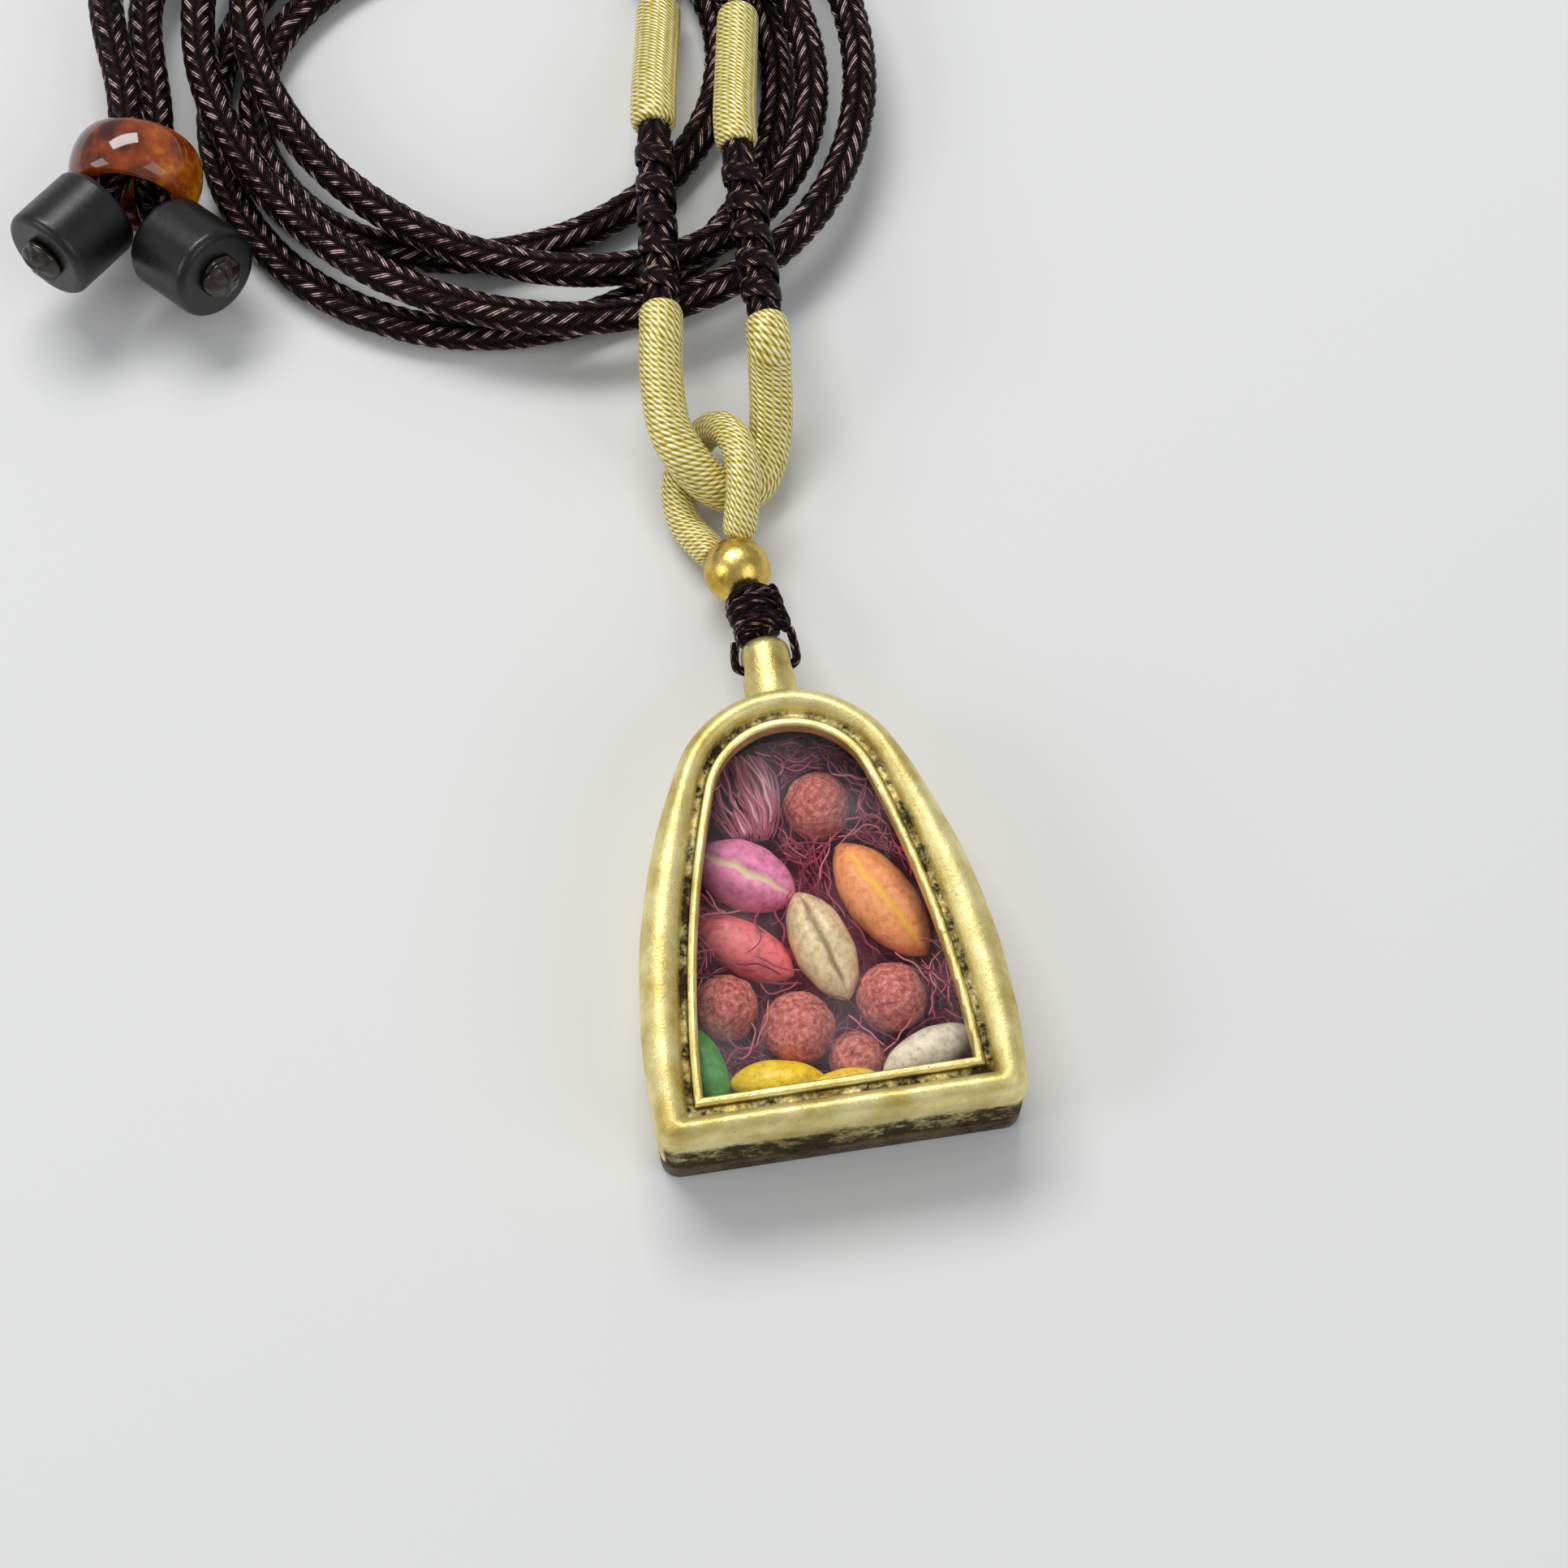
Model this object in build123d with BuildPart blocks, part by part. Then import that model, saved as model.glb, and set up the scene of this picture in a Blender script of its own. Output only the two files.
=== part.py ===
"""Arched brass amulet box with a sliding back, on an adjustable braided neck cord.

The box lies on its back: X is its width, Y runs from its foot to its bail, Z is up
through the window. The origin is the middle of the back face. Millimetres.
"""
import os
from math import cos, pi, radians, sin, sqrt, tan

from build123d import *

# Outside of the box
case_width = 23.1
case_height = 28.6
case_depth = 8.8
nose_radius = 7.8
widest_height = 5.1
foot_corner_radius = 1.2
wall = 1.5
roll_width = 1.7
roll_side_width = 2.15
roll_foot_width = 1.65
roll_outer_share = 0.66
roll_inner_share = 0.27

# Window: groove, bezel and pane
groove_width = 0.45
groove_depth = 0.9
bezel_width = 0.6
bezel_depth = 1.1
bezel_edge_radius = 0.2
shelf_thickness = 0.7
pane_thickness = 0.8
fit_gap = 0.05

# Sliding back
lip_width = 1.9
lip_thickness = 0.45
slide_gap = 0.06
slide_side_gap = 0.12
track_wall = 0.8
plate_thickness = 0.85
cap_depth = 1.7
cap_height = 2.6
cap_seam = 0.15
cap_edge_radius = 0.4

# Bail
bail_length = 4.9
bail_foot_radius = 1.7
bail_belly_radius = 1.73
bail_crown_radius = 1.62
bail_hole_height = 2.8
bail_hole_radius = 0.75
bail_crown_round = 1.0

# Contents of the box, laid out in a room of this width, height and depth that follows the cavity
content_gap = 0.1
wool_thickness = 0.2
layout_room = (20.1, 25.6, 4.73)
pellet_sizes = {"top": 2.2, "left": 2.1, "centre": 2.3, "right": 2.25, "bottom": 1.75}
pellet_places = {
    "top": (1.75, 7.4),
    "left": (-6.05, -5.0),
    "centre": (-1.75, -7.0),
    "right": (4.3, -5.9),
    "bottom": (1.5, -9.5),
}
# Grain name: centre x, centre y, height above the wool, heading in degrees, length, girth
grain_places = {
    "pink": (-3.6, 3.5, 2.25, -34, 7.0, 4.0),
    "red": (-4.3, -1.2, 1.95, -38, 7.2, 3.5),
    "cream": (0.55, -2.0, 2.65, -74, 7.8, 3.9),
    "orange": (4.75, 0.6, 2.3, -62, 9.2, 4.4),
    "white": (5.95, -9.95, 3.1, 17, 6.4, 3.0),
    "yellow_left": (-3.75, -10.7, 3.25, -8, 5.2, 2.7),
    "yellow_right": (0.75, -11.85, 3.7, 6, 4.4, 1.7),
    "green": (-7.75, -9.2, 3.3, 100, 6.0, 2.5),
}
grain_shoulder = 0.3
bundle_length = 5.6
bundle_radius = 1.9
bundle_place = (-2.5, 8.6)

# Hanger: bail cord, knot, gold bead and thread-bound loop
bail_cord_radius = 0.26
bail_cord_room = 0.08
bail_cord_rise = 1.45
bail_cord_spread = 1.9
bail_cord_run = 0.4
knot_start = 2.45
knot_radius = 1.75
knot_waist = 1.45
knot_ribs = 5
gold_bead_radius = 2.25
gold_bead_place = (-0.8, 8.2, 2.8)
core_radius = 0.8
bead_bore_gap = 0.1
bead_end_gap = 0.25
hanger_loop_radius = 1.1

# Neck cord
cord_radius = 1.25
cord_gap = 0.1
thread_loop_radius = 1.5
neck_core_radius = 1.1
wrap_wire_radius = 0.28
wrap_turns = 5
stub_length = 1.8
layer_height = 2.0 * cord_radius + cord_gap
bend_share = 0.45
least_loop_gap = 0.4
quarters_per_turn = 4
gap_samples_per_turn = 180
slope_step = 0.0005

# Slider and end beads on the neck cord
slider_radius = 4.6
slider_thickness = 4.4
slider_hole_radius = 2.7
slider_place = (-37.8, 43.8)
slider_heading = 14.0
slider_floor_gap = 0.15
slider_travel = 1.6
slider_straight_room = 0.45
cord_side_gap = 0.05
pair_turn = 50.0
# Tail name: side of the slider, drop to its bend, run to its bead, heading and rise in degrees
tail_splays = {"upper": (-1, 2.2, 1.65, 43.5, 9.5), "lower": (1, 3.2, 2.45, 40.0, 12.0)}
splay_bend_radius = 3.2
end_bead_radius = 3.3
end_bead_length = 5.6
end_bead_edge_radius = 0.6
end_bead_bore_gap = 0.1
end_knot_radius = 1.5
end_knot_height = 1.1

# Heights and places that follow from the sizes above
half_width = case_width / 2
foot_y = -case_height / 2
top_y = case_height / 2
roll_outer_radius = roll_outer_share * min(roll_width, roll_foot_width)
roll_inner_radius = roll_inner_share * min(roll_width, roll_foot_width)
groove_floor = case_depth - groove_depth
pane_top = groove_floor - shelf_thickness
pane_bottom = pane_top - pane_thickness
plate_bottom = lip_thickness + slide_gap
plate_top = plate_bottom + plate_thickness
track_top = plate_top + slide_gap
wool_bottom = track_top + fit_gap
wool_top = wool_bottom + wool_thickness
cavity_width = case_width - 2 * wall
cavity_height = case_height - 2 * wall
cavity_depth = pane_bottom - wool_top
bail_y = top_y + bail_hole_height
bail_z = case_depth / 2

# Outline: half-width, nose radius, height of the widest line, top and foot
box_line = (half_width, nose_radius, foot_y + widest_height, top_y, foot_y)
bezel_line = (
    half_width - roll_side_width - groove_width,
    nose_radius - roll_width - groove_width,
    foot_y,
    top_y - roll_width - groove_width,
    foot_y + roll_foot_width + groove_width,
)


def side_arc(line):
    """Radius of an outline's long side arcs, and the x of the right one's centre."""
    half, nose, widest, top, _ = line
    rise = top - nose - widest
    radius = (half**2 + rise**2 - nose**2) / (2 * (half - nose))
    return radius, half - radius


def half_width_at(line, inset, height):
    """Half of an outline's width at a height below its nose."""
    radius, centre_x = side_arc(line)
    return centre_x + sqrt((radius - inset) ** 2 - (height - line[2]) ** 2)


def arch(line, inset, foot_inset):
    """Arch drawn in from an outline by inset, with its foot edge drawn in by foot_inset."""
    _, nose, widest, top, foot = line
    radius, centre_x = side_arc(line)
    low = foot + foot_inset
    low_x = half_width_at(line, inset, low)
    turn_x = (nose - inset) * -centre_x / (radius - nose)
    turn_y = top - nose + (nose - inset) * (top - nose - widest) / (radius - nose)
    with BuildSketch() as outline:
        with BuildLine():
            Line((-low_x, low), (low_x, low))
            RadiusArc((low_x, low), (turn_x, turn_y), inset - radius)
            ThreePointArc((turn_x, turn_y), (0, top - inset), (-turn_x, turn_y))
            RadiusArc((-turn_x, turn_y), (-low_x, low), inset - radius)
        make_face()
    return outline.sketch


def slide_arch(inset, foot_inset):
    """Arch of the box with straight sides no wider than its foot, so that the back can slide out."""
    with BuildSketch() as outline:
        add(arch(box_line, inset, foot_inset))
        Rectangle(2 * half_width_at(box_line, inset, foot_y), 2 * case_height, mode=Mode.INTERSECT)
    return outline.sketch


def save(piece, name):
    """Label a finished piece and write it to its own file."""
    piece.label = name
    export_step(piece, f"parts/{name}.step")


os.makedirs("parts", exist_ok=True)

# Front shell of the box
with BuildPart() as case_shell:
    with BuildSketch():
        add(arch(box_line, 0, 0))
    extrude(amount=case_depth)
    fillet(case_shell.edges().filter_by(Axis.Z).group_by(Axis.Y)[0], foot_corner_radius)
    with BuildSketch(Plane.XY.offset(groove_floor)):
        add(arch(bezel_line, -groove_width, -groove_width))
    extrude(amount=groove_depth, mode=Mode.SUBTRACT)
    crest = case_shell.faces().sort_by(Axis.Z)[-1]
    fillet(crest.outer_wire().edges(), roll_outer_radius)
    crest = case_shell.faces().filter_by(Axis.Z).sort_by(Axis.Z)[-1]
    fillet(crest.inner_wires()[0].edges(), roll_inner_radius)
    with BuildSketch(Plane.XY.offset(pane_top)):
        add(arch(bezel_line, 0, 0))
    extrude(amount=shelf_thickness, mode=Mode.SUBTRACT)
    with BuildSketch(Plane.XY.offset(track_top)):
        add(arch(box_line, wall, wall))
    extrude(amount=pane_top - track_top, mode=Mode.SUBTRACT)
    with BuildSketch(Plane.XY.offset(lip_thickness)):
        add(slide_arch(track_wall, 0))
    extrude(amount=track_top - lip_thickness, mode=Mode.SUBTRACT)
    with BuildSketch():
        add(slide_arch(lip_width, 0))
    extrude(amount=lip_thickness, mode=Mode.SUBTRACT)
    with BuildSketch():
        with Locations((0, foot_y)):
            Rectangle(case_width + wall, 2 * (cap_depth + cap_seam))
    extrude(amount=cap_height + cap_seam, mode=Mode.SUBTRACT)
save(case_shell.part, "case_shell")

# Thin bezel standing in the groove, down to the pane
with BuildPart() as window_bezel:
    with BuildSketch(Plane.XY.offset(pane_top)):
        add(arch(bezel_line, fit_gap, fit_gap))
        add(arch(bezel_line, bezel_width, bezel_width), mode=Mode.SUBTRACT)
    extrude(amount=bezel_depth)
    fillet(window_bezel.faces().sort_by(Axis.Z)[-1].edges(), bezel_edge_radius)
save(window_bezel.part, "window_bezel")

# Clear pane behind the shelf
with BuildPart() as window_pane:
    with BuildSketch(Plane.XY.offset(pane_bottom)):
        add(arch(box_line, wall + fit_gap, wall + fit_gap))
    extrude(amount=pane_thickness)
save(window_pane.part, "window_pane")

# Back plate that slides in the side tracks, with its pull cap across the foot
with BuildPart() as back_cover:
    with BuildSketch(Plane.XY.offset(plate_bottom)):
        add(slide_arch(track_wall + slide_side_gap, cap_depth / 2))
    extrude(amount=plate_thickness)
    with BuildSketch():
        add(slide_arch(lip_width + slide_side_gap, cap_depth / 2))
    extrude(amount=plate_bottom)
    with BuildSketch():
        add(arch(box_line, 0, 0))
        with Locations((0, foot_y)):
            Rectangle(case_width, 2 * cap_depth, mode=Mode.INTERSECT)
    extrude(amount=cap_height)
    outer_uprights = back_cover.edges().filter_by(Axis.Z).group_by(Axis.Y)[0]
    fillet(outer_uprights, foot_corner_radius)
    cap_face = back_cover.faces().sort_by(Axis.Y)[0]
    fillet(cap_face.edges().filter_by(Axis.X), cap_edge_radius)
save(back_cover.part, "back_cover")

# Barrel lug soldered to the nose, bored across for its cord
with BuildPart() as bail:
    with BuildSketch(Plane.XY.offset(bail_z)):
        with BuildLine():
            crown_y = top_y + bail_length
            shoulder = (bail_crown_radius, crown_y - bail_crown_round)
            foot_end = (bail_foot_radius, top_y)
            Polyline((0, crown_y), (0, top_y - wall), (bail_foot_radius, top_y - wall), foot_end)
            ThreePointArc(foot_end, (bail_belly_radius, top_y + bail_length / 4), shoulder)
            RadiusArc(shoulder, (bail_crown_radius - bail_crown_round, crown_y), -bail_crown_round)
            Line((bail_crown_radius - bail_crown_round, crown_y), (0, crown_y))
        make_face()
    revolve(axis=Axis((0, 0, bail_z), (0, 1, 0)))
    with BuildSketch():
        add(arch(box_line, -fit_gap, 0))
    extrude(amount=case_depth, mode=Mode.SUBTRACT)
    with BuildSketch(Plane.YZ):
        with Locations((bail_y, bail_z)):
            Circle(bail_hole_radius)
    extrude(amount=case_width, both=True, mode=Mode.SUBTRACT)
save(bail.part, "bail")

# Wool sheet under the contents
with BuildPart() as wool_backing:
    with BuildSketch(Plane.XY.offset(wool_bottom)):
        add(arch(box_line, wall + content_gap, cap_depth + content_gap))
    extrude(amount=wool_thickness)
save(wool_backing.part, "wool_backing")

room_width, room_height, room_depth = layout_room


def place_content(piece, name):
    """Fit a piece from the layout room, whose floor is at zero, to the cavity and save it."""
    stretch = (cavity_width / room_width, cavity_height / room_height, cavity_depth / room_depth)
    fitted = scale(piece, by=stretch)
    with BuildPart() as content:
        with Locations((0, 0, wool_top)):
            add(fitted)
    save(content.part, name)


# Rolled pellets, half-way up the room
for pellet_name, pellet_radius in pellet_sizes.items():
    pellet_x, pellet_y = pellet_places[pellet_name]
    with BuildPart(Plane((pellet_x, pellet_y, room_depth / 2))) as pellet:
        Sphere(pellet_radius)
    place_content(pellet.part, f"pellet_{pellet_name}")

# Dyed barley grains, pointed at both ends
for grain_name, (grain_x, grain_y, lift, heading, length, girth) in grain_places.items():
    along = (cos(radians(heading)), sin(radians(heading)), 0)
    middle = (grain_x, grain_y, lift)
    with BuildPart() as grain:
        with BuildSketch(Plane(origin=middle, x_dir=along)):
            with BuildLine():
                shoulder_x = length * grain_shoulder
                shoulder_y = girth * 2 / 3
                tip = (length / 2, 0)
                tail = (-length / 2, 0)
                Bezier(tail, (-shoulder_x, shoulder_y), (shoulder_x, shoulder_y), tip)
                Line(tip, tail)
            make_face()
        revolve(axis=Axis(middle, along))
    place_content(grain.part, f"grain_{grain_name}")

# Bundle of dyed fibre under the nose
with BuildPart() as relic_bundle:
    bundle_x, bundle_y = bundle_place
    bundle_foot = (bundle_x, bundle_y - bundle_length / 2, room_depth / 2)
    with BuildSketch(Plane(bundle_foot, z_dir=(0, 1, 0))):
        Circle(bundle_radius)
    extrude(amount=bundle_length)
    fillet(relic_bundle.edges(), bundle_radius / 2)
place_content(relic_bundle.part, "relic_bundle")


def from_bail(route):
    """Turn points measured from the bail's hole along the cord into points of the frame."""
    return [Vector(x, bail_y + along, z) for x, along, z in route]


def bend_radii(route):
    """Largest arc that fits each corner of a route between its two runs."""
    radii = []
    for before, corner, after in zip(route, route[1:], route[2:]):
        run_in = corner - before
        run_out = after - corner
        half_turn = radians(run_in.get_angle(run_out)) / 2
        radii.append(bend_share * min(run_in.length, run_out.length) / tan(half_turn))
    return radii


def lay_tube(name, route, radius, last_bend=None):
    """Sweep a round tube along a route of straight runs and tangent arcs, and save it."""
    radii = bend_radii(route)
    if last_bend:
        radii[-1] = last_bend
    print(name, "bend radii", [round(bend, 1) for bend in radii])
    with BuildPart() as tube:
        with BuildLine() as path:
            FilletPolyline(*route, radius=radii)
        with BuildSketch(Plane(origin=path.line @ 0, z_dir=path.line % 0)):
            Circle(radius)
        sweep(path=path.line)
    path_length = sum(edge.length for edge in path.edges())
    section_volume = pi * radius**2 * path_length
    print(name, "volume over section times length", round(tube.part.volume / section_volume, 4))
    save(tube.part, name)


def biarc(start, start_way, end, end_way):
    """Join two points by two arcs that leave and arrive along the given ways."""
    chord = end - start
    ways = start_way + end_way
    spread = 2 * (1 - start_way.dot(end_way))
    reach = (sqrt(chord.dot(ways) ** 2 + spread * chord.dot(chord)) - chord.dot(ways)) / spread
    meeting = (start + end + (start_way - end_way) * reach) * 0.5
    first = TangentArc(start, meeting, tangent=start_way)
    TangentArc(meeting, end, tangent=first % 1)


def wind_tube(name, point_at, first_turn, last_turn, radius):
    """Sweep a tube along a winding given by its formula, straight for one diameter at each end."""

    def way_at(turn):
        return (point_at(turn + slope_step) - point_at(turn - slope_step)).normalized()

    steps = round((last_turn - first_turn) * quarters_per_turn)
    turns = [first_turn + (last_turn - first_turn) * step / steps for step in range(steps + 1)]
    lead_in = point_at(first_turn) - way_at(first_turn) * 2 * radius
    lead_out = point_at(last_turn) + way_at(last_turn) * 2 * radius
    with BuildPart() as tube:
        with BuildLine() as path:
            Line(lead_in, point_at(first_turn))
            for turn, next_turn in zip(turns, turns[1:]):
                biarc(point_at(turn), way_at(turn), point_at(next_turn), way_at(next_turn))
            Line(point_at(last_turn), lead_out)
        with BuildSketch(Plane(origin=lead_in, z_dir=way_at(first_turn))):
            Circle(radius)
        sweep(path=path.line)
    samples = round((last_turn - first_turn) * gap_samples_per_turn)
    points = [point_at(first_turn + sample / gap_samples_per_turn) for sample in range(samples)]
    half = gap_samples_per_turn // 2
    apart = min(
        (points[far] - points[near]).length
        for near in range(samples)
        for far in range(near + half, samples)
    )
    print(name, "least gap to itself", round(apart - 2 * radius, 2), "wanted over", least_loop_gap)
    save(tube.part, name)
    return lead_in, way_at(first_turn), lead_out, way_at(last_turn)


# Knot of bound cord between the bail and the gold bead
bead_x, bead_along, bead_z = gold_bead_place
bead_centre = Vector(bead_x, bail_y + bead_along, bead_z)
knot_foot = Vector(0, bail_y + knot_start, bail_z)
hanger_way = (bead_centre - knot_foot).normalized()
knot_length = (bead_centre - knot_foot).length - gold_bead_radius - bead_end_gap
knot_plane = Plane(origin=knot_foot, x_dir=hanger_way, z_dir=hanger_way.cross(Vector(1, 0, 0)))
rib_pitch = knot_length / knot_ribs
with BuildPart() as hanger_knot:
    with BuildSketch(knot_plane):
        with BuildLine():
            Polyline((0, knot_waist), (0, 0), (knot_length, 0), (knot_length, knot_waist))
            for rib in range(knot_ribs):
                ThreePointArc(
                    (rib * rib_pitch, knot_waist),
                    ((rib + 0.5) * rib_pitch, knot_radius),
                    ((rib + 1) * rib_pitch, knot_waist),
                )
        make_face()
    revolve(axis=Axis(knot_foot, hanger_way))
save(hanger_knot.part, "hanger_knot")

# Core cord from the knot up inside the bead
with BuildPart() as hanger_core:
    with BuildSketch(Plane(origin=knot_foot + hanger_way * knot_length, z_dir=hanger_way)):
        Circle(core_radius)
    extrude(amount=bead_end_gap + 2 * gold_bead_radius - bead_bore_gap)
save(hanger_core.part, "hanger_core")

# Gold bead, bored for the core cord
with BuildPart(Plane(origin=bead_centre, z_dir=hanger_way)) as gold_bead:
    Sphere(gold_bead_radius)
    Cylinder(core_radius + bead_bore_gap, 3 * gold_bead_radius, mode=Mode.SUBTRACT)
save(gold_bead.part, "gold_bead")

# Cord through the bail, up both sides of it into the knot
bail_side = (bail_belly_radius + bail_crown_radius) / 2 + bail_cord_room + bail_cord_radius
knot_side = hanger_way.cross(Vector(0, 0, 1)).normalized() * bail_cord_spread
bail_cord_half = [
    knot_foot + knot_side,
    knot_foot + knot_side - hanger_way * bail_cord_run,
    Vector(bail_side, bail_y + bail_cord_rise, bail_z),
    Vector(bail_side, bail_y, bail_z),
]
bail_cord_other = [
    knot_foot - knot_side,
    knot_foot - knot_side - hanger_way * bail_cord_run,
    Vector(-bail_side, bail_y + bail_cord_rise, bail_z),
    Vector(-bail_side, bail_y, bail_z),
]
lay_tube("bail_cord", bail_cord_half + bail_cord_other[::-1], bail_cord_radius)

# Thread-bound loop that rises from the bead and links through the neck loop
hanger_route = from_bail([
    (-0.3, 10.75, 3.3),
    (0.25, 12.5, 4.5),
    (0.55, 14.5, 5.05),
    (0.4, 16.6, 4.85),
    (-0.2, 18.3, 3.95),
    (-1.2, 19.1, 2.7),
    (-2.4, 18.4, 1.8),
    (-3.5, 17.0, 1.25),
    (-4.05, 15.4, 1.15),
    (-4.0, 13.3, 1.15),
    (-3.2, 11.6, 1.35),
    (-2.3, 10.25, 1.65),
])
lay_tube("hanger_loop", hanger_route, hanger_loop_radius)

# Ends of the two arms: where each bare neck begins and where its sleeve begins
left_neck_start, left_neck_end = from_bail([(-3.27, 26.2, 7.4), (-1.73, 41.0, 6.45)])
right_neck_start, right_neck_end = from_bail([(3.6, 24.8, 7.25), (3.74, 38.2, 7.0)])
left_stub = (left_neck_end - left_neck_start).normalized() * stub_length
right_stub = (right_neck_end - right_neck_start).normalized() * stub_length

# Thread-bound loop at the bottom of the neck cord, straight into each neck
neck_loop_middle = from_bail([
    (-3.8, 22.8, 6.9),
    (-4.0, 20.3, 6.0),
    (-3.95, 17.9, 5.2),
    (-3.2, 16.4, 4.6),
    (-1.9, 15.0, 3.25),
    (-0.2, 14.4, 1.95),
    (1.45, 15.1, 1.55),
    (2.6, 16.9, 2.15),
    (3.2, 19.1, 3.6),
    (3.4, 21.3, 5.4),
])
neck_loop_route = [left_neck_start, left_neck_start - left_stub, *neck_loop_middle]
neck_loop_route += [right_neck_start - right_stub, right_neck_start]
lay_tube("necklace_loop", neck_loop_route, thread_loop_radius)

# Bare neck of each arm with its spiral binding, and the thread-bound sleeve above it
left_sleeve_route = [left_neck_end, left_neck_end + left_stub]
left_sleeve_route += from_bail([(-0.8, 47.4, 4.4), (-0.2, 51.2, 2.5), (0.3, 54.4, 1.75)])
right_sleeve_route = [right_neck_end, right_neck_end + right_stub]
right_sleeve_route += from_bail([(4.3, 43.4, 5.7), (5.0, 47.4, 4.5), (5.7, 51.4, 4.1)])
arms = {
    "left": (left_neck_start, left_neck_end, left_sleeve_route),
    "right": (right_neck_start, right_neck_end, right_sleeve_route),
}
wrap_radius = neck_core_radius + wrap_wire_radius + fit_gap
for side, (neck_start, neck_end, sleeve_route) in arms.items():
    neck_way = (neck_end - neck_start).normalized()
    neck_length = (neck_end - neck_start).length
    with BuildPart() as neck_core:
        with BuildSketch(Plane(origin=neck_start, z_dir=neck_way)):
            Circle(neck_core_radius)
        extrude(amount=neck_length)
    save(neck_core.part, f"{side}_neck")
    across = neck_way.cross(Vector(0, 0, 1)).normalized()
    upward = across.cross(neck_way)
    wrap_room = 4 * wrap_wire_radius
    wrap_pitch = (neck_length - 2 * wrap_room) / wrap_turns

    def wrap_point(turn):
        """Point of the spiral binding after a number of turns up the neck."""
        climb = neck_way * (wrap_room + wrap_pitch * turn)
        swing = across * cos(2 * pi * turn) + upward * sin(2 * pi * turn)
        return neck_start + climb + swing * wrap_radius

    wind_tube(f"{side}_wrap", wrap_point, 0, wrap_turns, wrap_wire_radius)
    lay_tube(f"{side}_sleeve", sleeve_route, thread_loop_radius)


def coil_formula(centre, drift, long_half, short_half, tilt, phase, height):
    """Spiral of tilted ovals that grows at a steady rate: halves are (at the start, per turn)."""

    def point_at(turn):
        angle = 2 * pi * turn + radians(phase)
        along = (long_half[0] + long_half[1] * turn) * cos(angle)
        across = (short_half[0] + short_half[1] * turn) * sin(angle)
        swing_x = along * cos(radians(tilt)) - across * sin(radians(tilt))
        swing_y = along * sin(radians(tilt)) + across * cos(radians(tilt))
        middle_y = bail_y + centre[1] + drift[1] * turn
        return Vector(centre[0] + drift[0] * turn + swing_x, middle_y + swing_y, height)

    return point_at


# The two halves of the neck cord lie coiled, one layer on the other
floor_layer = cord_radius + fit_gap
lower_point = coil_formula((-13.7, 51.4), (0.35, -1.3), (14.8, 3.3), (11.0, 5.25), 15, 2.5, floor_layer)
upper_point = coil_formula(
    (-10.4, 51.4), (0, -0.1), (19.9, 3.1), (14.1, 4.2), -44, 55.5, floor_layer + layer_height
)
lower_ends = wind_tube("lower_coil", lower_point, 0.1, 2.26, cord_radius)
upper_ends = wind_tube("upper_coil", upper_point, 0.1, 2.3, cord_radius)

# Short stretch from each sleeve to its coil, straight where it meets them
def lead_route(sleeve_route, middle_points, coil_ends):
    """Route from a sleeve's end to a coil's start."""
    sleeve_stub = (sleeve_route[-1] - sleeve_route[-2]).normalized() * stub_length
    coil_stub = coil_ends[1] * cord_radius
    route = [sleeve_route[-1], sleeve_route[-1] + sleeve_stub, *from_bail(middle_points)]
    return route + [coil_ends[0] - coil_stub, coil_ends[0]]


lay_tube("left_lead", lead_route(left_sleeve_route, [(-0.2, 58.3, 1.3)], lower_ends), cord_radius)
right_middle = [(5.6, 55.6, 4.0), (4.5, 57.6, 3.95)]
lay_tube("right_lead", lead_route(right_sleeve_route, right_middle, upper_ends), cord_radius)

# Slider bead, sized to hold the two cord tails side by side
slider_x, slider_along = slider_place
slider_centre = Vector(slider_x, bail_y + slider_along, slider_radius + slider_floor_gap)
slider_way = Vector(sin(radians(slider_heading)), cos(radians(slider_heading)), 0)
slider_across = Vector(cos(radians(slider_heading)), -sin(radians(slider_heading)), 0)
slider_middle = (slider_radius + slider_hole_radius) / 2
slider_half = (slider_radius - slider_hole_radius) / 2
with BuildPart() as slider_bead:
    with BuildSketch(Plane(origin=slider_centre, x_dir=slider_across, z_dir=(0, 0, 1))):
        with Locations((slider_middle, 0)):
            Ellipse(slider_half, slider_thickness / 2)
    revolve(axis=Axis(slider_centre, slider_way))
save(slider_bead.part, "slider_bead")

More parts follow.
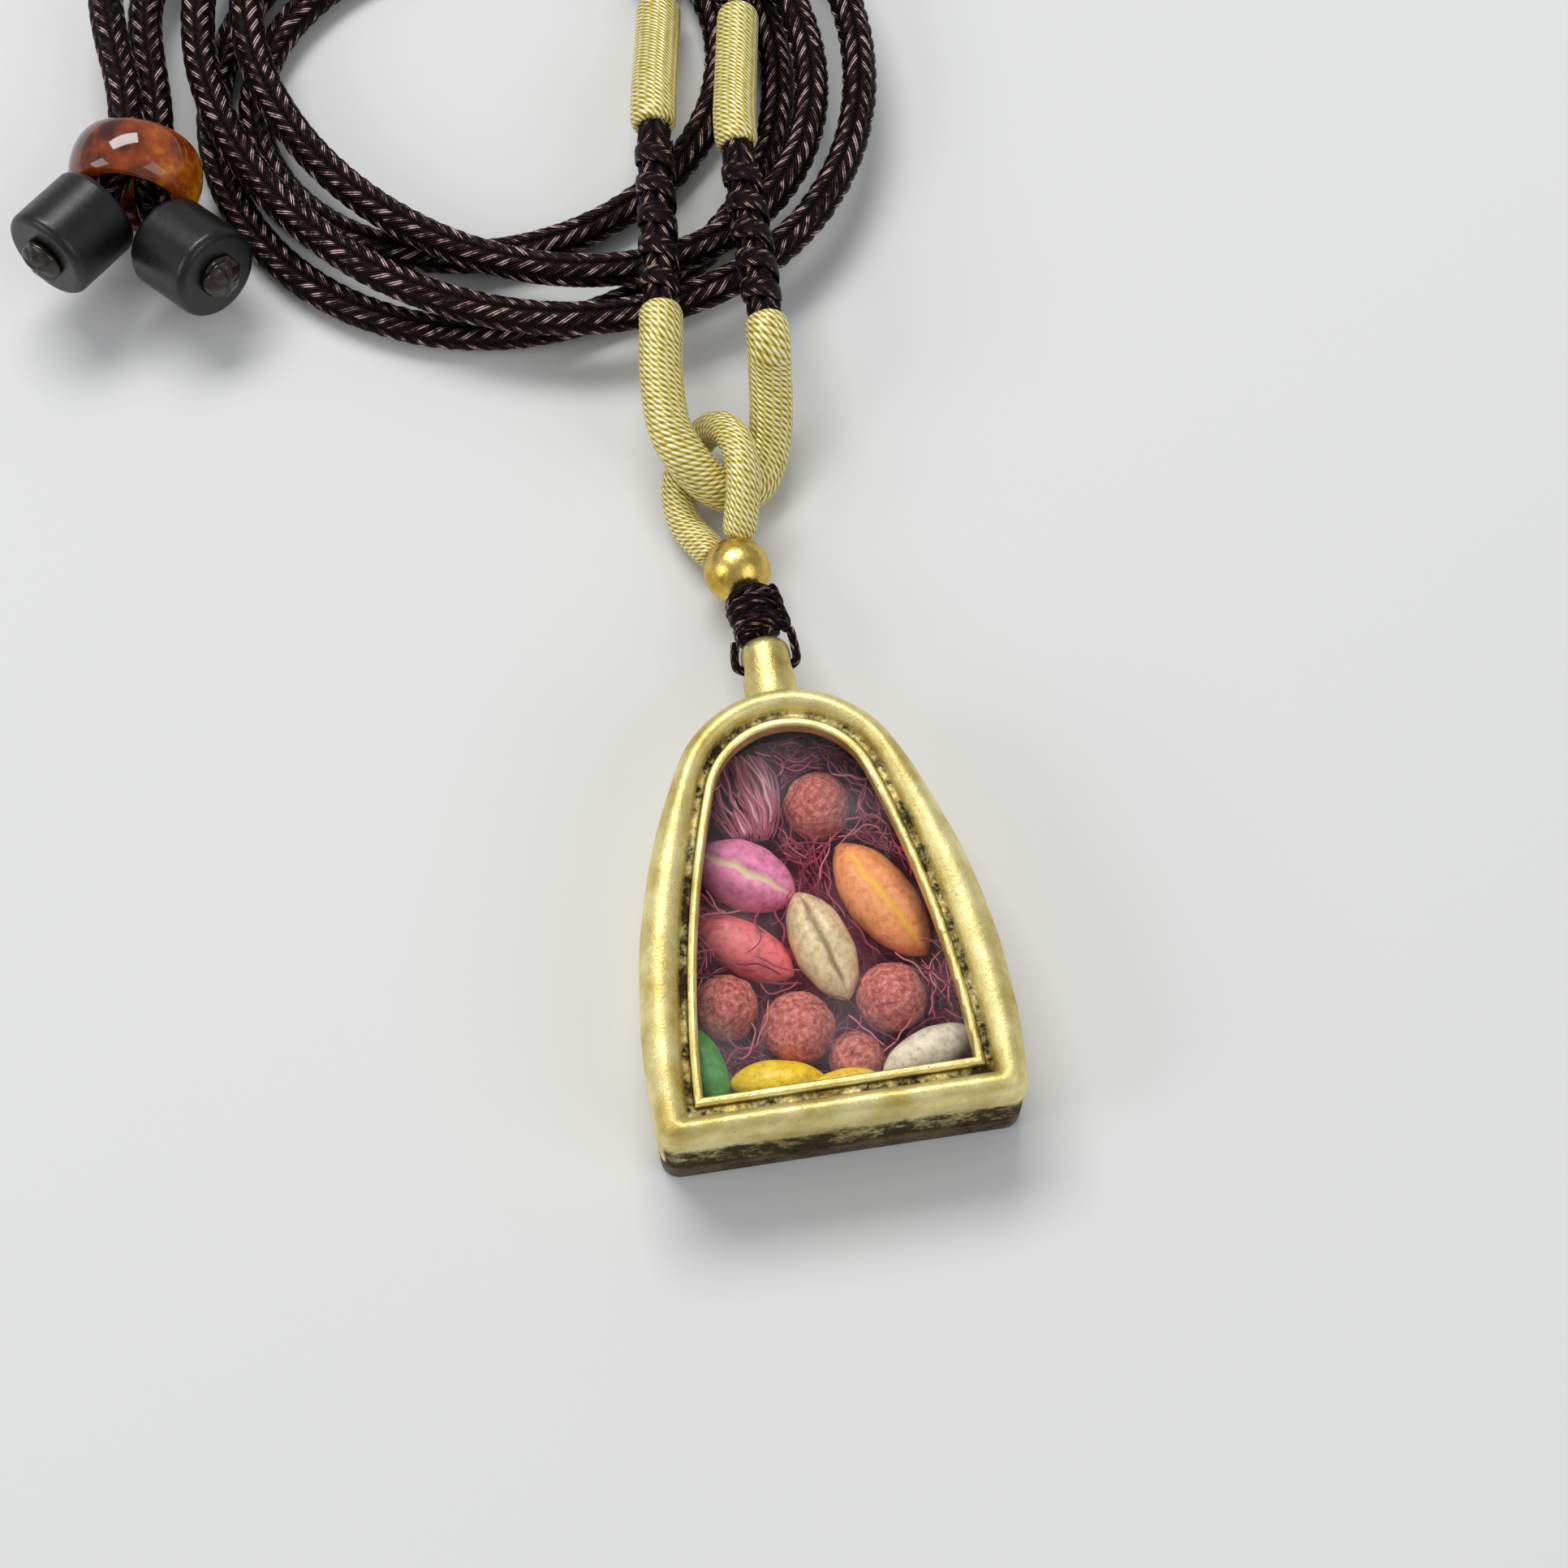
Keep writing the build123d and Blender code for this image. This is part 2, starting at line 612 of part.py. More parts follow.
# Tails through the slider, splayed to their end beads
pair_side = slider_across * cos(radians(pair_turn)) - Vector(0, 0, 1) * sin(radians(pair_turn))
straight_reach = slider_travel + slider_thickness / 2 + slider_straight_room
tail_routes = {
    "upper": ("left", upper_ends, [
        (-32.0, 70.1, 3.8),
        (-35.2, 67.5, 3.85),
        (-38.0, 64.1, 4.3),
        (-39.1, 58.2, 5.5),
    ]),
    "lower": ("right", lower_ends, [
        (-28.7, 66.9, 1.3),
        (-32.0, 65.1, 1.4),
        (-35.2, 62.5, 2.7),
        (-36.7, 57.6, 3.75),
    ]),
}
for layer, (side, coil_ends, middle_points) in tail_routes.items():
    hand, drop, run, heading, rise = tail_splays[layer]
    tail_middle = slider_centre + pair_side * hand * (cord_radius + cord_side_gap)
    corner = tail_middle - slider_way * drop
    level = cos(radians(rise))
    splay_x = hand * sin(radians(heading)) * level
    splay_way = Vector(splay_x, -cos(radians(heading)) * level, sin(radians(rise)))
    bead_start = corner + splay_way * run
    bead_end = bead_start + splay_way * end_bead_length
    knot_face = bead_end + splay_way * end_bead_bore_gap
    route = [coil_ends[2], coil_ends[2] + coil_ends[3] * stub_length, *from_bail(middle_points)]
    route += [tail_middle + slider_way * straight_reach, corner, knot_face]
    lay_tube(f"{layer}_tail", route, cord_radius, last_bend=splay_bend_radius)
    print(f"end_bead_{side} starts at", bead_start, "along", splay_way)

    # Barrel bead turning on the cord's end
    with BuildPart() as end_bead:
        with BuildSketch(Plane(origin=bead_start, z_dir=splay_way)):
            Circle(end_bead_radius)
        extrude(amount=end_bead_length)
        fillet(end_bead.edges(), end_bead_edge_radius)
        with BuildSketch(Plane(origin=bead_start, z_dir=splay_way)):
            Circle(cord_radius + end_bead_bore_gap)
        extrude(amount=end_bead_length, mode=Mode.SUBTRACT)
    save(end_bead.part, f"end_bead_{side}")

    # Melted knot that keeps the bead on
    with BuildPart() as end_knot:
        with BuildSketch(Plane(origin=knot_face, z_dir=splay_way)):
            Circle(end_knot_radius)
        extrude(amount=end_knot_height)
        fillet(end_knot.edges().sort_by(Axis(knot_face, splay_way))[-1], end_knot_height / 2)
    save(end_knot.part, f"end_knot_{side}")
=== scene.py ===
"""Looks of the arched amulet box and its braided neck cord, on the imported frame."""
import math
import random

import bmesh
import bpy
import numpy as np
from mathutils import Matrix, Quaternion, Vector, noise


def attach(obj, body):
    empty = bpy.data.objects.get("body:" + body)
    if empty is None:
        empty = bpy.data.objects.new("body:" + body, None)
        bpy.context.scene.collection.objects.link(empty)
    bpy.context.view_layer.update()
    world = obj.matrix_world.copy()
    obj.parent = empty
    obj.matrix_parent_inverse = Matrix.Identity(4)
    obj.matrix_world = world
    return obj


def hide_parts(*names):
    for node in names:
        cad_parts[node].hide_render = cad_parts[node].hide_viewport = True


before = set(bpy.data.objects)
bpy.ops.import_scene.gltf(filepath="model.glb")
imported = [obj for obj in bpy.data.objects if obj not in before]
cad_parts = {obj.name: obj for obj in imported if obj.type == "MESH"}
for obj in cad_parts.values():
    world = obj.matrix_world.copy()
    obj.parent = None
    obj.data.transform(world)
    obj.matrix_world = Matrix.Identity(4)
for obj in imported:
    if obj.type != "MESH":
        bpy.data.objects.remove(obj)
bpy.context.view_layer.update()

# Lengths below are in millimetres, as in the part's source, and become metres through MM
MM = 0.001
TAU = 2 * math.pi
UP = np.array((0, 0, 1))
SEED = 7
random.seed(SEED)
noise.seed_set(SEED)

# Camera, fitted to the photograph's square frame
PHOTO_PIXELS = 1932
FOCAL_PIXELS = 3600
CAMERA_PLACE = (-10.66, -58.64, 178.47)
CAMERA_WAY = (0.0561, 0.3622, -0.9304)
SENSOR = 36.0
NEAR_CLIP = 5

camera_data = bpy.data.cameras.new("camera")
camera_data.sensor_width = SENSOR
camera_data.lens = SENSOR * FOCAL_PIXELS / PHOTO_PIXELS
camera_data.clip_start = NEAR_CLIP * MM
camera = bpy.data.objects.new("camera", camera_data)
camera.location = Vector(CAMERA_PLACE) * MM
camera.rotation_mode = "QUATERNION"
camera.rotation_quaternion = Vector(CAMERA_WAY).to_track_quat("-Z", "Y")
bpy.context.collection.objects.link(camera)
bpy.context.scene.camera = camera

# Outlines of the box, as in the part's source: half-width, nose radius, widest line, top and foot
BOX_LINE = (11.55, 7.8, -9.2, 14.3, -14.3)
BEZEL_LINE = (8.95, 5.65, -14.3, 12.15, -12.2)
BAIL_Y = 17.1
BAIL_Z = 4.4
WOOL_TOP = 1.67
PANE_BOTTOM = 6.4


# Node helpers
def linear(code):
    """Linear colour of a hexadecimal sRGB code."""
    parts = [int(code[place:place + 2], 16) / 255 for place in (0, 2, 4)]
    return (*[part / 12.92 if part <= 0.04045 else ((part + 0.055) / 1.055) ** 2.4 for part in parts], 1)


class Finish:
    """A material under construction: its tree, its shader and short calls that add nodes."""

    def __init__(self, name, **sockets):
        self.material = bpy.data.materials.new(name)
        self.material.use_nodes = True
        self.tree = self.material.node_tree
        self.shader = self.tree.nodes["Principled BSDF"]
        for socket, value in sockets.items():
            self.set(socket.replace("_", " "), value)

    def set(self, socket, value):
        self.plug(self.shader.inputs[socket], value)

    def plug(self, socket, value):
        """Link a socket to a node's output, or set it to a number, a vector or a colour code."""
        if isinstance(value, bpy.types.NodeSocket):
            self.tree.links.new(value, socket)
        else:
            socket.default_value = linear(value) if isinstance(value, str) else value

    def add(self, kind, inputs=None, **settings):
        node = self.tree.nodes.new("ShaderNode" + kind)
        for name, value in settings.items():
            setattr(node, name, value)
        for socket, value in (inputs or {}).items():
            self.plug(node.inputs[socket], value)
        return node

    def math(self, operation, first, second=0.0):
        return self.add("Math", {0: first, 1: second}, operation=operation).outputs[0]

    def plus(self, first, second):
        return self.math("ADD", first, second)

    def times(self, first, second):
        return self.math("MULTIPLY", first, second)

    def humps(self, phase):
        """Rounded humps from 0 to 1, one for each whole step of phase."""
        return self.math("ABSOLUTE", self.math("SINE", self.times(phase, math.pi)))

    def place(self):
        return self.add("TexCoord").outputs["Object"]

    def noise(self, size, detail=3.0, rough=0.6, stretch=None):
        """Noise whose features are about size millimetres."""
        where = self.place()
        if stretch:
            where = self.add("Mapping", {"Vector": where, "Scale": stretch}).outputs[0]
        return self.add(
            "TexNoise", {"Vector": where, "Scale": 1 / (size * MM), "Detail": detail, "Roughness": rough}
        ).outputs["Fac"]

    def ramp(self, factor, *stops):
        """Colour ramp over stops, each a place and a colour or its code."""
        node = self.add("ValToRGB", {"Fac": factor})
        for place, _ in stops[2:]:
            node.color_ramp.elements.new(place)
        for element, (place, colour) in zip(node.color_ramp.elements, sorted(stops)):
            element.position = place
            element.color = linear(colour) if isinstance(colour, str) else colour
        return node.outputs["Color"]

    def spread(self, factor, low, high, to_low=0.0, to_high=1.0):
        """Map factor from low..high to to_low..to_high, held at the ends."""
        return self.add("MapRange", {0: factor, 1: low, 2: high, 3: to_low, 4: to_high}).outputs[0]

    def mix(self, factor, first, second):
        node = self.add("Mix", {"Factor": factor}, data_type="RGBA")
        self.plug(node.inputs[6], first)
        self.plug(node.inputs[7], second)
        return node.outputs[2]

    def value(self, name):
        return self.add("Attribute", attribute_name=name).outputs["Fac"]

    def bump(self, height, depth, strength):
        """Bump whose height runs over depth millimetres, on top of the bumps already there."""
        node = self.add("Bump", {"Height": height, "Distance": depth * MM, "Strength": strength})
        last = self.shader.inputs["Normal"].links
        if last:
            self.tree.links.new(last[0].from_socket, node.inputs["Normal"])
        self.set("Normal", node.outputs[0])


# Mesh helpers
VALUES = ("relief", "along", "turn")
SPLINE_STEPS = 16
FEWEST_POINTS = 4
STEEP = 0.9


def patch(grid, relief=0.0, along=0.0, turn=0.0, closed=True, caps=True):
    """Points, faces and values of a grid of rings, shut around and capped where asked."""
    rings, around = grid.shape[:2]
    index = np.arange(rings * around).reshape(rings, around)
    ahead = np.roll(index, -1, axis=1) if closed else index[:, 1:]
    here = index if closed else index[:, :-1]
    quads = np.stack([here[:-1], ahead[:-1], ahead[1:], here[1:]], axis=-1).reshape(-1, 4)
    faces = quads.tolist()
    if caps:
        faces += [index[0, ::-1].tolist(), index[-1].tolist()]
    values = [np.broadcast_to(value, (rings, around)).ravel() for value in (relief, along, turn)]
    return grid.reshape(-1, 3), faces, np.stack(values, axis=1)


def make_piece(name, patches, body, nodes, finish):
    """One smooth piece of several patches, in millimetres, riding a body in place of CAD nodes."""
    points = np.concatenate([part[0] for part in patches]) * MM
    values = np.concatenate([part[2] for part in patches]).astype(np.float32)
    faces = []
    start = 0
    for part in patches:
        faces += [[corner + start for corner in face] for face in part[1]]
        start += len(part[0])
    mesh = bpy.data.meshes.new(name)
    mesh.from_pydata(points.tolist(), [], faces)
    for column, value in enumerate(VALUES):
        attribute = mesh.attributes.new(value, "FLOAT", "POINT")
        attribute.data.foreach_set("value", np.ascontiguousarray(values[:, column]))
    mesh.shade_smooth()
    mesh.materials.append(finish.material)
    piece = bpy.data.objects.new(name, mesh)
    bpy.context.collection.objects.link(piece)
    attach(piece, body)
    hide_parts(*nodes)
    return piece


def spline_line(route, spacing):
    """Evenly spaced points along the NURBS spline that has the route's points as control points."""
    curve = bpy.data.curves.new("route", "CURVE")
    curve.dimensions = "3D"
    spline = curve.splines.new("NURBS")
    spline.points.add(len(route) - 1)
    for point, place in zip(spline.points, route):
        point.co = (*[part * MM for part in place], 1)
    spline.order_u = 3
    spline.use_endpoint_u = True
    spline.resolution_u = SPLINE_STEPS
    carrier = bpy.data.objects.new("route", curve)
    line = bpy.data.meshes.new_from_object(carrier)
    points = np.array([vertex.co[:] for vertex in line.vertices]) / MM
    bpy.data.objects.remove(carrier)
    bpy.data.meshes.remove(line)
    bpy.data.curves.remove(curve)
    runs = np.concatenate([[0], np.cumsum(np.linalg.norm(np.diff(points, axis=0), axis=1))])
    stations = np.linspace(0, runs[-1], max(FEWEST_POINTS, round(runs[-1] / spacing) + 1))
    return np.stack([np.interp(stations, runs, points[:, axis]) for axis in range(3)], axis=1), stations


def unit(vector):
    return np.array(vector) / np.linalg.norm(vector)


def unit_rows(vectors):
    return vectors / np.linalg.norm(vectors, axis=1, keepdims=True)


def across_way(way):
    """Two unit vectors across a way, the first of them level."""
    side = unit(np.cross(way, UP))
    return side, np.cross(side, way)


def path_frames(points):
    """Two unit vectors across a path at each of its points, without twist."""
    ways = unit_rows(np.gradient(points, axis=0))
    side = np.cross(ways[0], UP if abs(ways[0][2]) < STEEP else (1, 0, 0))
    sides = []
    for way in ways:
        side = unit(side - way * np.dot(side, way))
        sides.append(side)
    sides = np.array(sides)
    return sides, np.cross(ways, sides)


def tube(points, radius, around):
    """Grid of rings along a path, each ring from its underside round to the underside again."""
    sides, ups = path_frames(points)
    angles = np.linspace(0, TAU, around + 1)
    swing = sides[:, None] * np.sin(angles)[None, :, None] - ups[:, None] * np.cos(angles)[None, :, None]
    return points[:, None] + swing * np.broadcast_to(radius, (len(points), around + 1))[:, :, None]


def from_ends(stations):
    """Distance of each station from the nearer end."""
    return np.minimum(stations, stations[-1] - stations)


# Braided cord: columns of slanted stitches that lean to either side in turn
COLUMNS = 6
STITCH = 1.2
STITCH_SLANT = 1.5
STITCH_ROUND = 0.6
STITCH_EDGE = 3.0
END_LEAST = 0.02
FILAMENTS = 4


def stitches(along, turn):
    """Height from 0 to 1 of stitches; along counts stitches and turn counts columns."""
    across = turn % 1 - 0.5
    odd = np.floor(turn) % 2
    phase = along + (1 - 2 * odd) * across * STITCH_SLANT + 0.5 * odd
    return np.abs(np.sin(math.pi * phase)) ** STITCH_ROUND * (1 - np.abs(2 * across) ** STITCH_EDGE)


def braided(points, stations, radius, around, depth, columns=COLUMNS, stitch=STITCH, end_round=0.0):
    """Patch of a braided tube whose crests stand at the radius, drawn in at its ends."""
    turn = np.linspace(0, columns, around + 1)[None, :]
    along = stations[:, None] / stitch
    relief = stitches(along, turn)
    radii = radius - depth + depth * relief
    if end_round:
        near = np.clip(from_ends(stations) / end_round, END_LEAST, 1)
        radii = radii * np.sqrt(1 - (1 - near) ** 2)[:, None]
    return patch(tube(points, radii, around), relief, along, turn, closed=False)


def braid_along(route, spacing, **facts):
    """Braided patch along a route; the facts are those of braided, from the radius on."""
    return braided(*spline_line(route, spacing), **facts)


def braid_finish(name, *tones):
    """Dark braid whose stitch crests carry painted glints: a few filaments in each stitch are painted bright
    pinkish as sheen.
    """
    finish = Finish(name, Roughness=0.38, Specular_IOR_Level=0.2, Specular_Tint="f0c4bc")
    turn = finish.value("turn")
    across = finish.math("SUBTRACT", finish.math("FRACT", turn), 0.5)
    odd = finish.math("MODULO", finish.math("FLOOR", turn), 2.0)
    hand = finish.math("SUBTRACT", 1.0, finish.times(odd, 2.0))
    lean = finish.times(finish.times(hand, across), STITCH_SLANT)
    phase = finish.plus(finish.plus(finish.value("along"), lean), finish.times(odd, 0.5))
    border = finish.math("POWER", finish.math("ABSOLUTE", finish.times(across, 2.0)), STITCH_EDGE)
    height = finish.times(finish.humps(phase), finish.math("SUBTRACT", 1.0, border))
    filament = finish.humps(finish.times(phase, FILAMENTS))
    # Painted highlight: the crests of the filaments are painted bright, as glints of sheen
    painted_glint = finish.times(height, finish.spread(filament, 0.0, 1.0, 0.15, 1.0))
    patchy = finish.spread(finish.noise(0.9, 4.0), 0.35, 0.65, 0.4, 1.35)
    finish.set("Base Color", finish.ramp(finish.times(painted_glint, patchy), *tones))
    finish.bump(filament, 0.07, 0.8)
    finish.bump(finish.noise(0.09, 2.0), 0.03, 0.5)
    return finish


# The brightest tones of both braids are painted glints of sheen on the stitch crests
cord_finish = braid_finish(
    "braided_cord", (0.28, "020101"), (0.48, "1a1010"), (0.7, "664e4e"), (0.95, "d2b6b2")
)
bound_finish = braid_finish(
    "bound_cord", (0.3, "020102"), (0.52, "140a12"), (0.76, "583e48"), (0.97, "c8a892")
)

# Thread-bound loops and sleeves: gold thread wound side by side, each thread of twisted plies
THREAD_PITCH = 0.42
THREAD_STARTS = 5
THREAD_DEPTH = 0.07
THREAD_SIDES = 54
THREAD_SPACING = 0.07
THREAD_END = 0.9
THREAD_END_SHARE = 0.72
PLIES = 16
PLY_SLANT = 1.1


def thread_bound(points, stations, radius):
    """Patch of a tube wound with thread, drawn in a little at its ends."""
    turn = np.linspace(0, 1, THREAD_SIDES + 1)[None, :]
    along = stations[:, None] / THREAD_PITCH
    relief = np.abs(np.sin(math.pi * (along + THREAD_STARTS * turn))) ** STITCH_ROUND
    near = np.clip(from_ends(stations) / THREAD_END, 0, 1)
    swell = THREAD_END_SHARE + (1 - THREAD_END_SHARE) * np.sqrt(1 - (1 - near) ** 2)
    radii = (radius - THREAD_DEPTH + THREAD_DEPTH * relief) * swell[:, None]
    return patch(tube(points, radii, THREAD_SIDES), relief, along, turn, closed=False)


def gold_thread():
    """Shiny gold thread with painted highlights on the crests of its rows and plies and painted shade in the
    gaps between rows.
    """
    finish = Finish("gold_thread", Metallic=0.2, Roughness=0.36, Specular_IOR_Level=0.7, Sheen_Weight=0.25,
                    Sheen_Tint="fff3b0")
    turn = finish.value("turn")
    row = finish.plus(finish.value("along"), finish.times(turn, THREAD_STARTS))
    ply_phase = finish.plus(
        finish.times(turn, PLIES * TAU), finish.times(finish.math("FRACT", row), PLY_SLANT * TAU)
    )
    ply = finish.spread(finish.math("SINE", ply_phase), -1.0, 1.0, 0.25, 1.1)
    painted_crest_light = finish.times(finish.spread(finish.humps(row), 0.0, 1.0, 0.35, 1.0), ply)
    patchy = finish.spread(finish.noise(0.5), 0.3, 0.7, 0.65, 1.3)
    # Painted light: near-white tones on the crests are painted highlights, dark olive tones in the gaps are
    # painted shade
    tones = (0.1, "7c650c"), (0.3, "bfa42c"), (0.55, "eadb70"), (0.85, "fffbd8")
    finish.set("Base Color", finish.ramp(finish.times(painted_crest_light, patchy), *tones))
    finish.bump(ply, 0.07, 0.8)
    return finish


thread_finish = gold_thread()

# Routes of the neck cord: x, distance past the bail's hole, z
HANGER_ROUTE = [
    (-0.36, 10.46, 3.24), (0.25, 12.4, 4.5), (0.6, 14.5, 5.2), (0.45, 16.7, 5.05), (-0.2, 18.35, 4.1),
    (-1.2, 19.0, 2.75), (-2.35, 18.3, 1.8), (-3.4, 17.0, 1.25), (-3.9, 15.4, 1.15), (-3.8, 13.3, 1.15),
    (-3.1, 11.6, 1.35), (-2.1, 10.0, 1.8),
]
NECK_LOOP_MIDDLE = [
    (-3.8, 22.8, 6.9), (-4.0, 20.3, 6.1), (-3.95, 17.9, 5.4), (-3.2, 16.2, 4.8), (-1.9, 14.8, 3.4),
    (-0.2, 14.15, 2.0), (1.45, 14.9, 1.5), (2.6, 16.8, 2.1), (3.2, 19.1, 3.6), (3.4, 21.3, 5.4),
]
LEFT_NECK = [(-3.27, 26.2, 7.4), (-1.73, 41.0, 6.45)]
RIGHT_NECK = [(3.6, 24.4, 7.25), (3.74, 38.2, 7.0)]
LEFT_SLEEVE = [(-0.8, 47.4, 4.4), (-0.2, 51.2, 2.5), (0.3, 54.4, 1.75)]
RIGHT_SLEEVE = [(4.3, 43.4, 5.7), (5.0, 47.4, 4.5), (5.7, 51.4, 4.1)]
LOWER_LEAD = [(-0.2, 58.3, 1.3)]
UPPER_LEAD = [(5.6, 55.6, 4.0), (4.5, 57.6, 3.95)]
LOWER_RETURN = [(-28.7, 66.9, 1.3), (-32.0, 65.1, 1.4), (-35.2, 62.5, 2.7), (-36.7, 57.6, 3.75)]
UPPER_RETURN = [(-32.0, 70.1, 3.8), (-35.2, 67.5, 3.85), (-38.0, 64.1, 4.3), (-39.1, 58.2, 5.5)]
STUB = 1.8
CORD_RADIUS = 1.25
THREAD_RADIUS = 1.5
LEFT_SLEEVE_RADIUS = 1.62
HANGER_RADIUS = 1.17
COIL_POINTS_PER_TURN = 24
TURN_STEP = 0.0005


def from_bail(route):
    return [np.array((x, BAIL_Y + along, z)) for x, along, z in route]


left_start, left_end = from_bail(LEFT_NECK)
right_start, right_end = from_bail(RIGHT_NECK)
left_way = unit(left_end - left_start)
right_way = unit(right_end - right_start)
neck_route = [left_start, left_start - left_way * STUB, *from_bail(NECK_LOOP_MIDDLE)]
neck_route += [right_start - right_way * STUB, right_start]
left_sleeve_route = [left_end, left_end + left_way * STUB, *from_bail(LEFT_SLEEVE)]
right_sleeve_route = [right_end, right_end + right_way * STUB, *from_bail(RIGHT_SLEEVE)]


def coil_points(centre, drift, long_half, short_half, tilt, phase, height, first, last):
    """Points of a spiral of tilted ovals, carried straight on at both ends."""
    tilt = math.radians(tilt)

    def point(turn):
        angle = TAU * turn + math.radians(phase)
        long_part = (long_half[0] + long_half[1] * turn) * math.cos(angle)
        short_part = (short_half[0] + short_half[1] * turn) * math.sin(angle)
        x = centre[0] + drift[0] * turn + long_part * math.cos(tilt) - short_part * math.sin(tilt)
        y = BAIL_Y + centre[1] + drift[1] * turn + long_part * math.sin(tilt) + short_part * math.cos(tilt)
        return np.array((x, y, height))

    turns = np.linspace(first, last, round((last - first) * COIL_POINTS_PER_TURN) + 1)
    points = [point(turn) for turn in turns]
    way_in = unit(point(first + TURN_STEP) - point(first - TURN_STEP))
    way_out = unit(point(last + TURN_STEP) - point(last - TURN_STEP))
    start = points[0] - way_in * 2 * CORD_RADIUS
    end = points[-1] + way_out * 2 * CORD_RADIUS
    return [start - way_in * CORD_RADIUS, start, *points, end, end + way_out * STUB]


lower_coil = coil_points(
    centre=(-13.7, 51.4), drift=(0.35, -1.3), long_half=(14.8, 3.3), short_half=(11.0, 5.25),
    tilt=15, phase=2.5, height=1.3, first=0.1, last=2.26,
)
upper_coil = coil_points(
    centre=(-10.4, 51.4), drift=(0, -0.1), long_half=(19.9, 3.1), short_half=(14.1, 4.2),
    tilt=-44, phase=55.5, height=3.9, first=0.1, last=2.3,
)

# Tails through the slider to the end beads
SLIDER_HEADING = math.radians(14)
SLIDER_CENTRE = np.array((-37.8, BAIL_Y + 43.8, 4.75))
SLIDER_WAY = np.array((math.sin(SLIDER_HEADING), math.cos(SLIDER_HEADING), 0))
SLIDER_ACROSS = np.array((math.cos(SLIDER_HEADING), -math.sin(SLIDER_HEADING), 0))
PAIR_TURN = math.radians(50)
PAIR_SIDE = SLIDER_ACROSS * math.cos(PAIR_TURN) - UP * math.sin(PAIR_TURN)
PAIR_OFFSET = 1.3
STRAIGHT_REACH = 4.25
BEAD_LENGTH = 5.6
KNOT_GAP = 0.1


def tail_end(hand, drop, run, heading, rise):
    """Last three points of a tail, up to the face of its knot, and its way out to the bead."""
    middle = SLIDER_CENTRE + PAIR_SIDE * hand * PAIR_OFFSET
    corner = middle - SLIDER_WAY * drop
    heading, rise = math.radians(heading), math.radians(rise)
    level = math.cos(rise)
    way = np.array((hand * math.sin(heading) * level, -math.cos(heading) * level, math.sin(rise)))
    return [middle + SLIDER_WAY * STRAIGHT_REACH, corner, corner + way * (run + BEAD_LENGTH + KNOT_GAP)], way


left_tail, left_splay = tail_end(hand=-1, drop=2.2, run=1.65, heading=43.5, rise=9.5)
right_tail, right_splay = tail_end(hand=1, drop=3.2, run=2.45, heading=40, rise=12)


def after_sleeve(sleeve_route):
    """The end of a sleeve and a point straight on from it."""
    return [sleeve_route[-1], sleeve_route[-1] + unit(sleeve_route[-1] - sleeve_route[-2]) * STUB]


lower_route = [*after_sleeve(left_sleeve_route), *from_bail(LOWER_LEAD), *lower_coil]
lower_route += [*from_bail(LOWER_RETURN), *right_tail]
upper_route = [*after_sleeve(right_sleeve_route), *from_bail(UPPER_LEAD), *upper_coil]
upper_route += [*from_bail(UPPER_RETURN), *left_tail]

BRAID_DEPTH = 0.28
BRAID_SIDES = 42
BRAID_SPACING = 0.16
cords = {}
for name, route, nodes in (
    ("lower_cord", lower_route, ("left_lead", "lower_coil", "lower_tail")),
    ("upper_cord", upper_route, ("right_lead", "upper_coil", "upper_tail")),
):
    points, stations = spline_line(route, BRAID_SPACING)
    braid = braided(points, stations, CORD_RADIUS, BRAID_SIDES, BRAID_DEPTH)
    piece = make_piece(name, [braid], "necklace", nodes, cord_finish)
    cords[name] = (piece, points, stations)

for node, route, radius, body in (
    ("hanger_loop", from_bail(HANGER_ROUTE), HANGER_RADIUS, "hanger"),
    ("necklace_loop", neck_route, THREAD_RADIUS, "necklace"),
    ("left_sleeve", left_sleeve_route, LEFT_SLEEVE_RADIUS, "necklace"),
    ("right_sleeve", right_sleeve_route, THREAD_RADIUS, "necklace"),
):
    wound = thread_bound(*spline_line(route, THREAD_SPACING), radius)
    make_piece(f"{node}_thread", [wound], body, [node], thread_finish)

# Bare necks with their spiral binding, a flat thin braid
NECK_RADIUS = 1.2
NECK_DEPTH = 0.2
NECK_SIDES = 36
NECK_SPACING = 0.14
WRAP_RADIUS = 1.28
WRAP_TURNS = 5
WRAP_STEPS = 16
WRAP_ROOM = 1.12
WRAP_SPACING = 0.12
BAND_HALF_WIDTH = 0.8
BAND_HALF_HEIGHT = 0.16
BAND_SIDES = 24
BAND_COLUMNS = 4
BAND_STITCH = 0.9
BAND_END = 0.6
BAND_END_LEAST = 0.05
BAND_VALLEY = 0.82


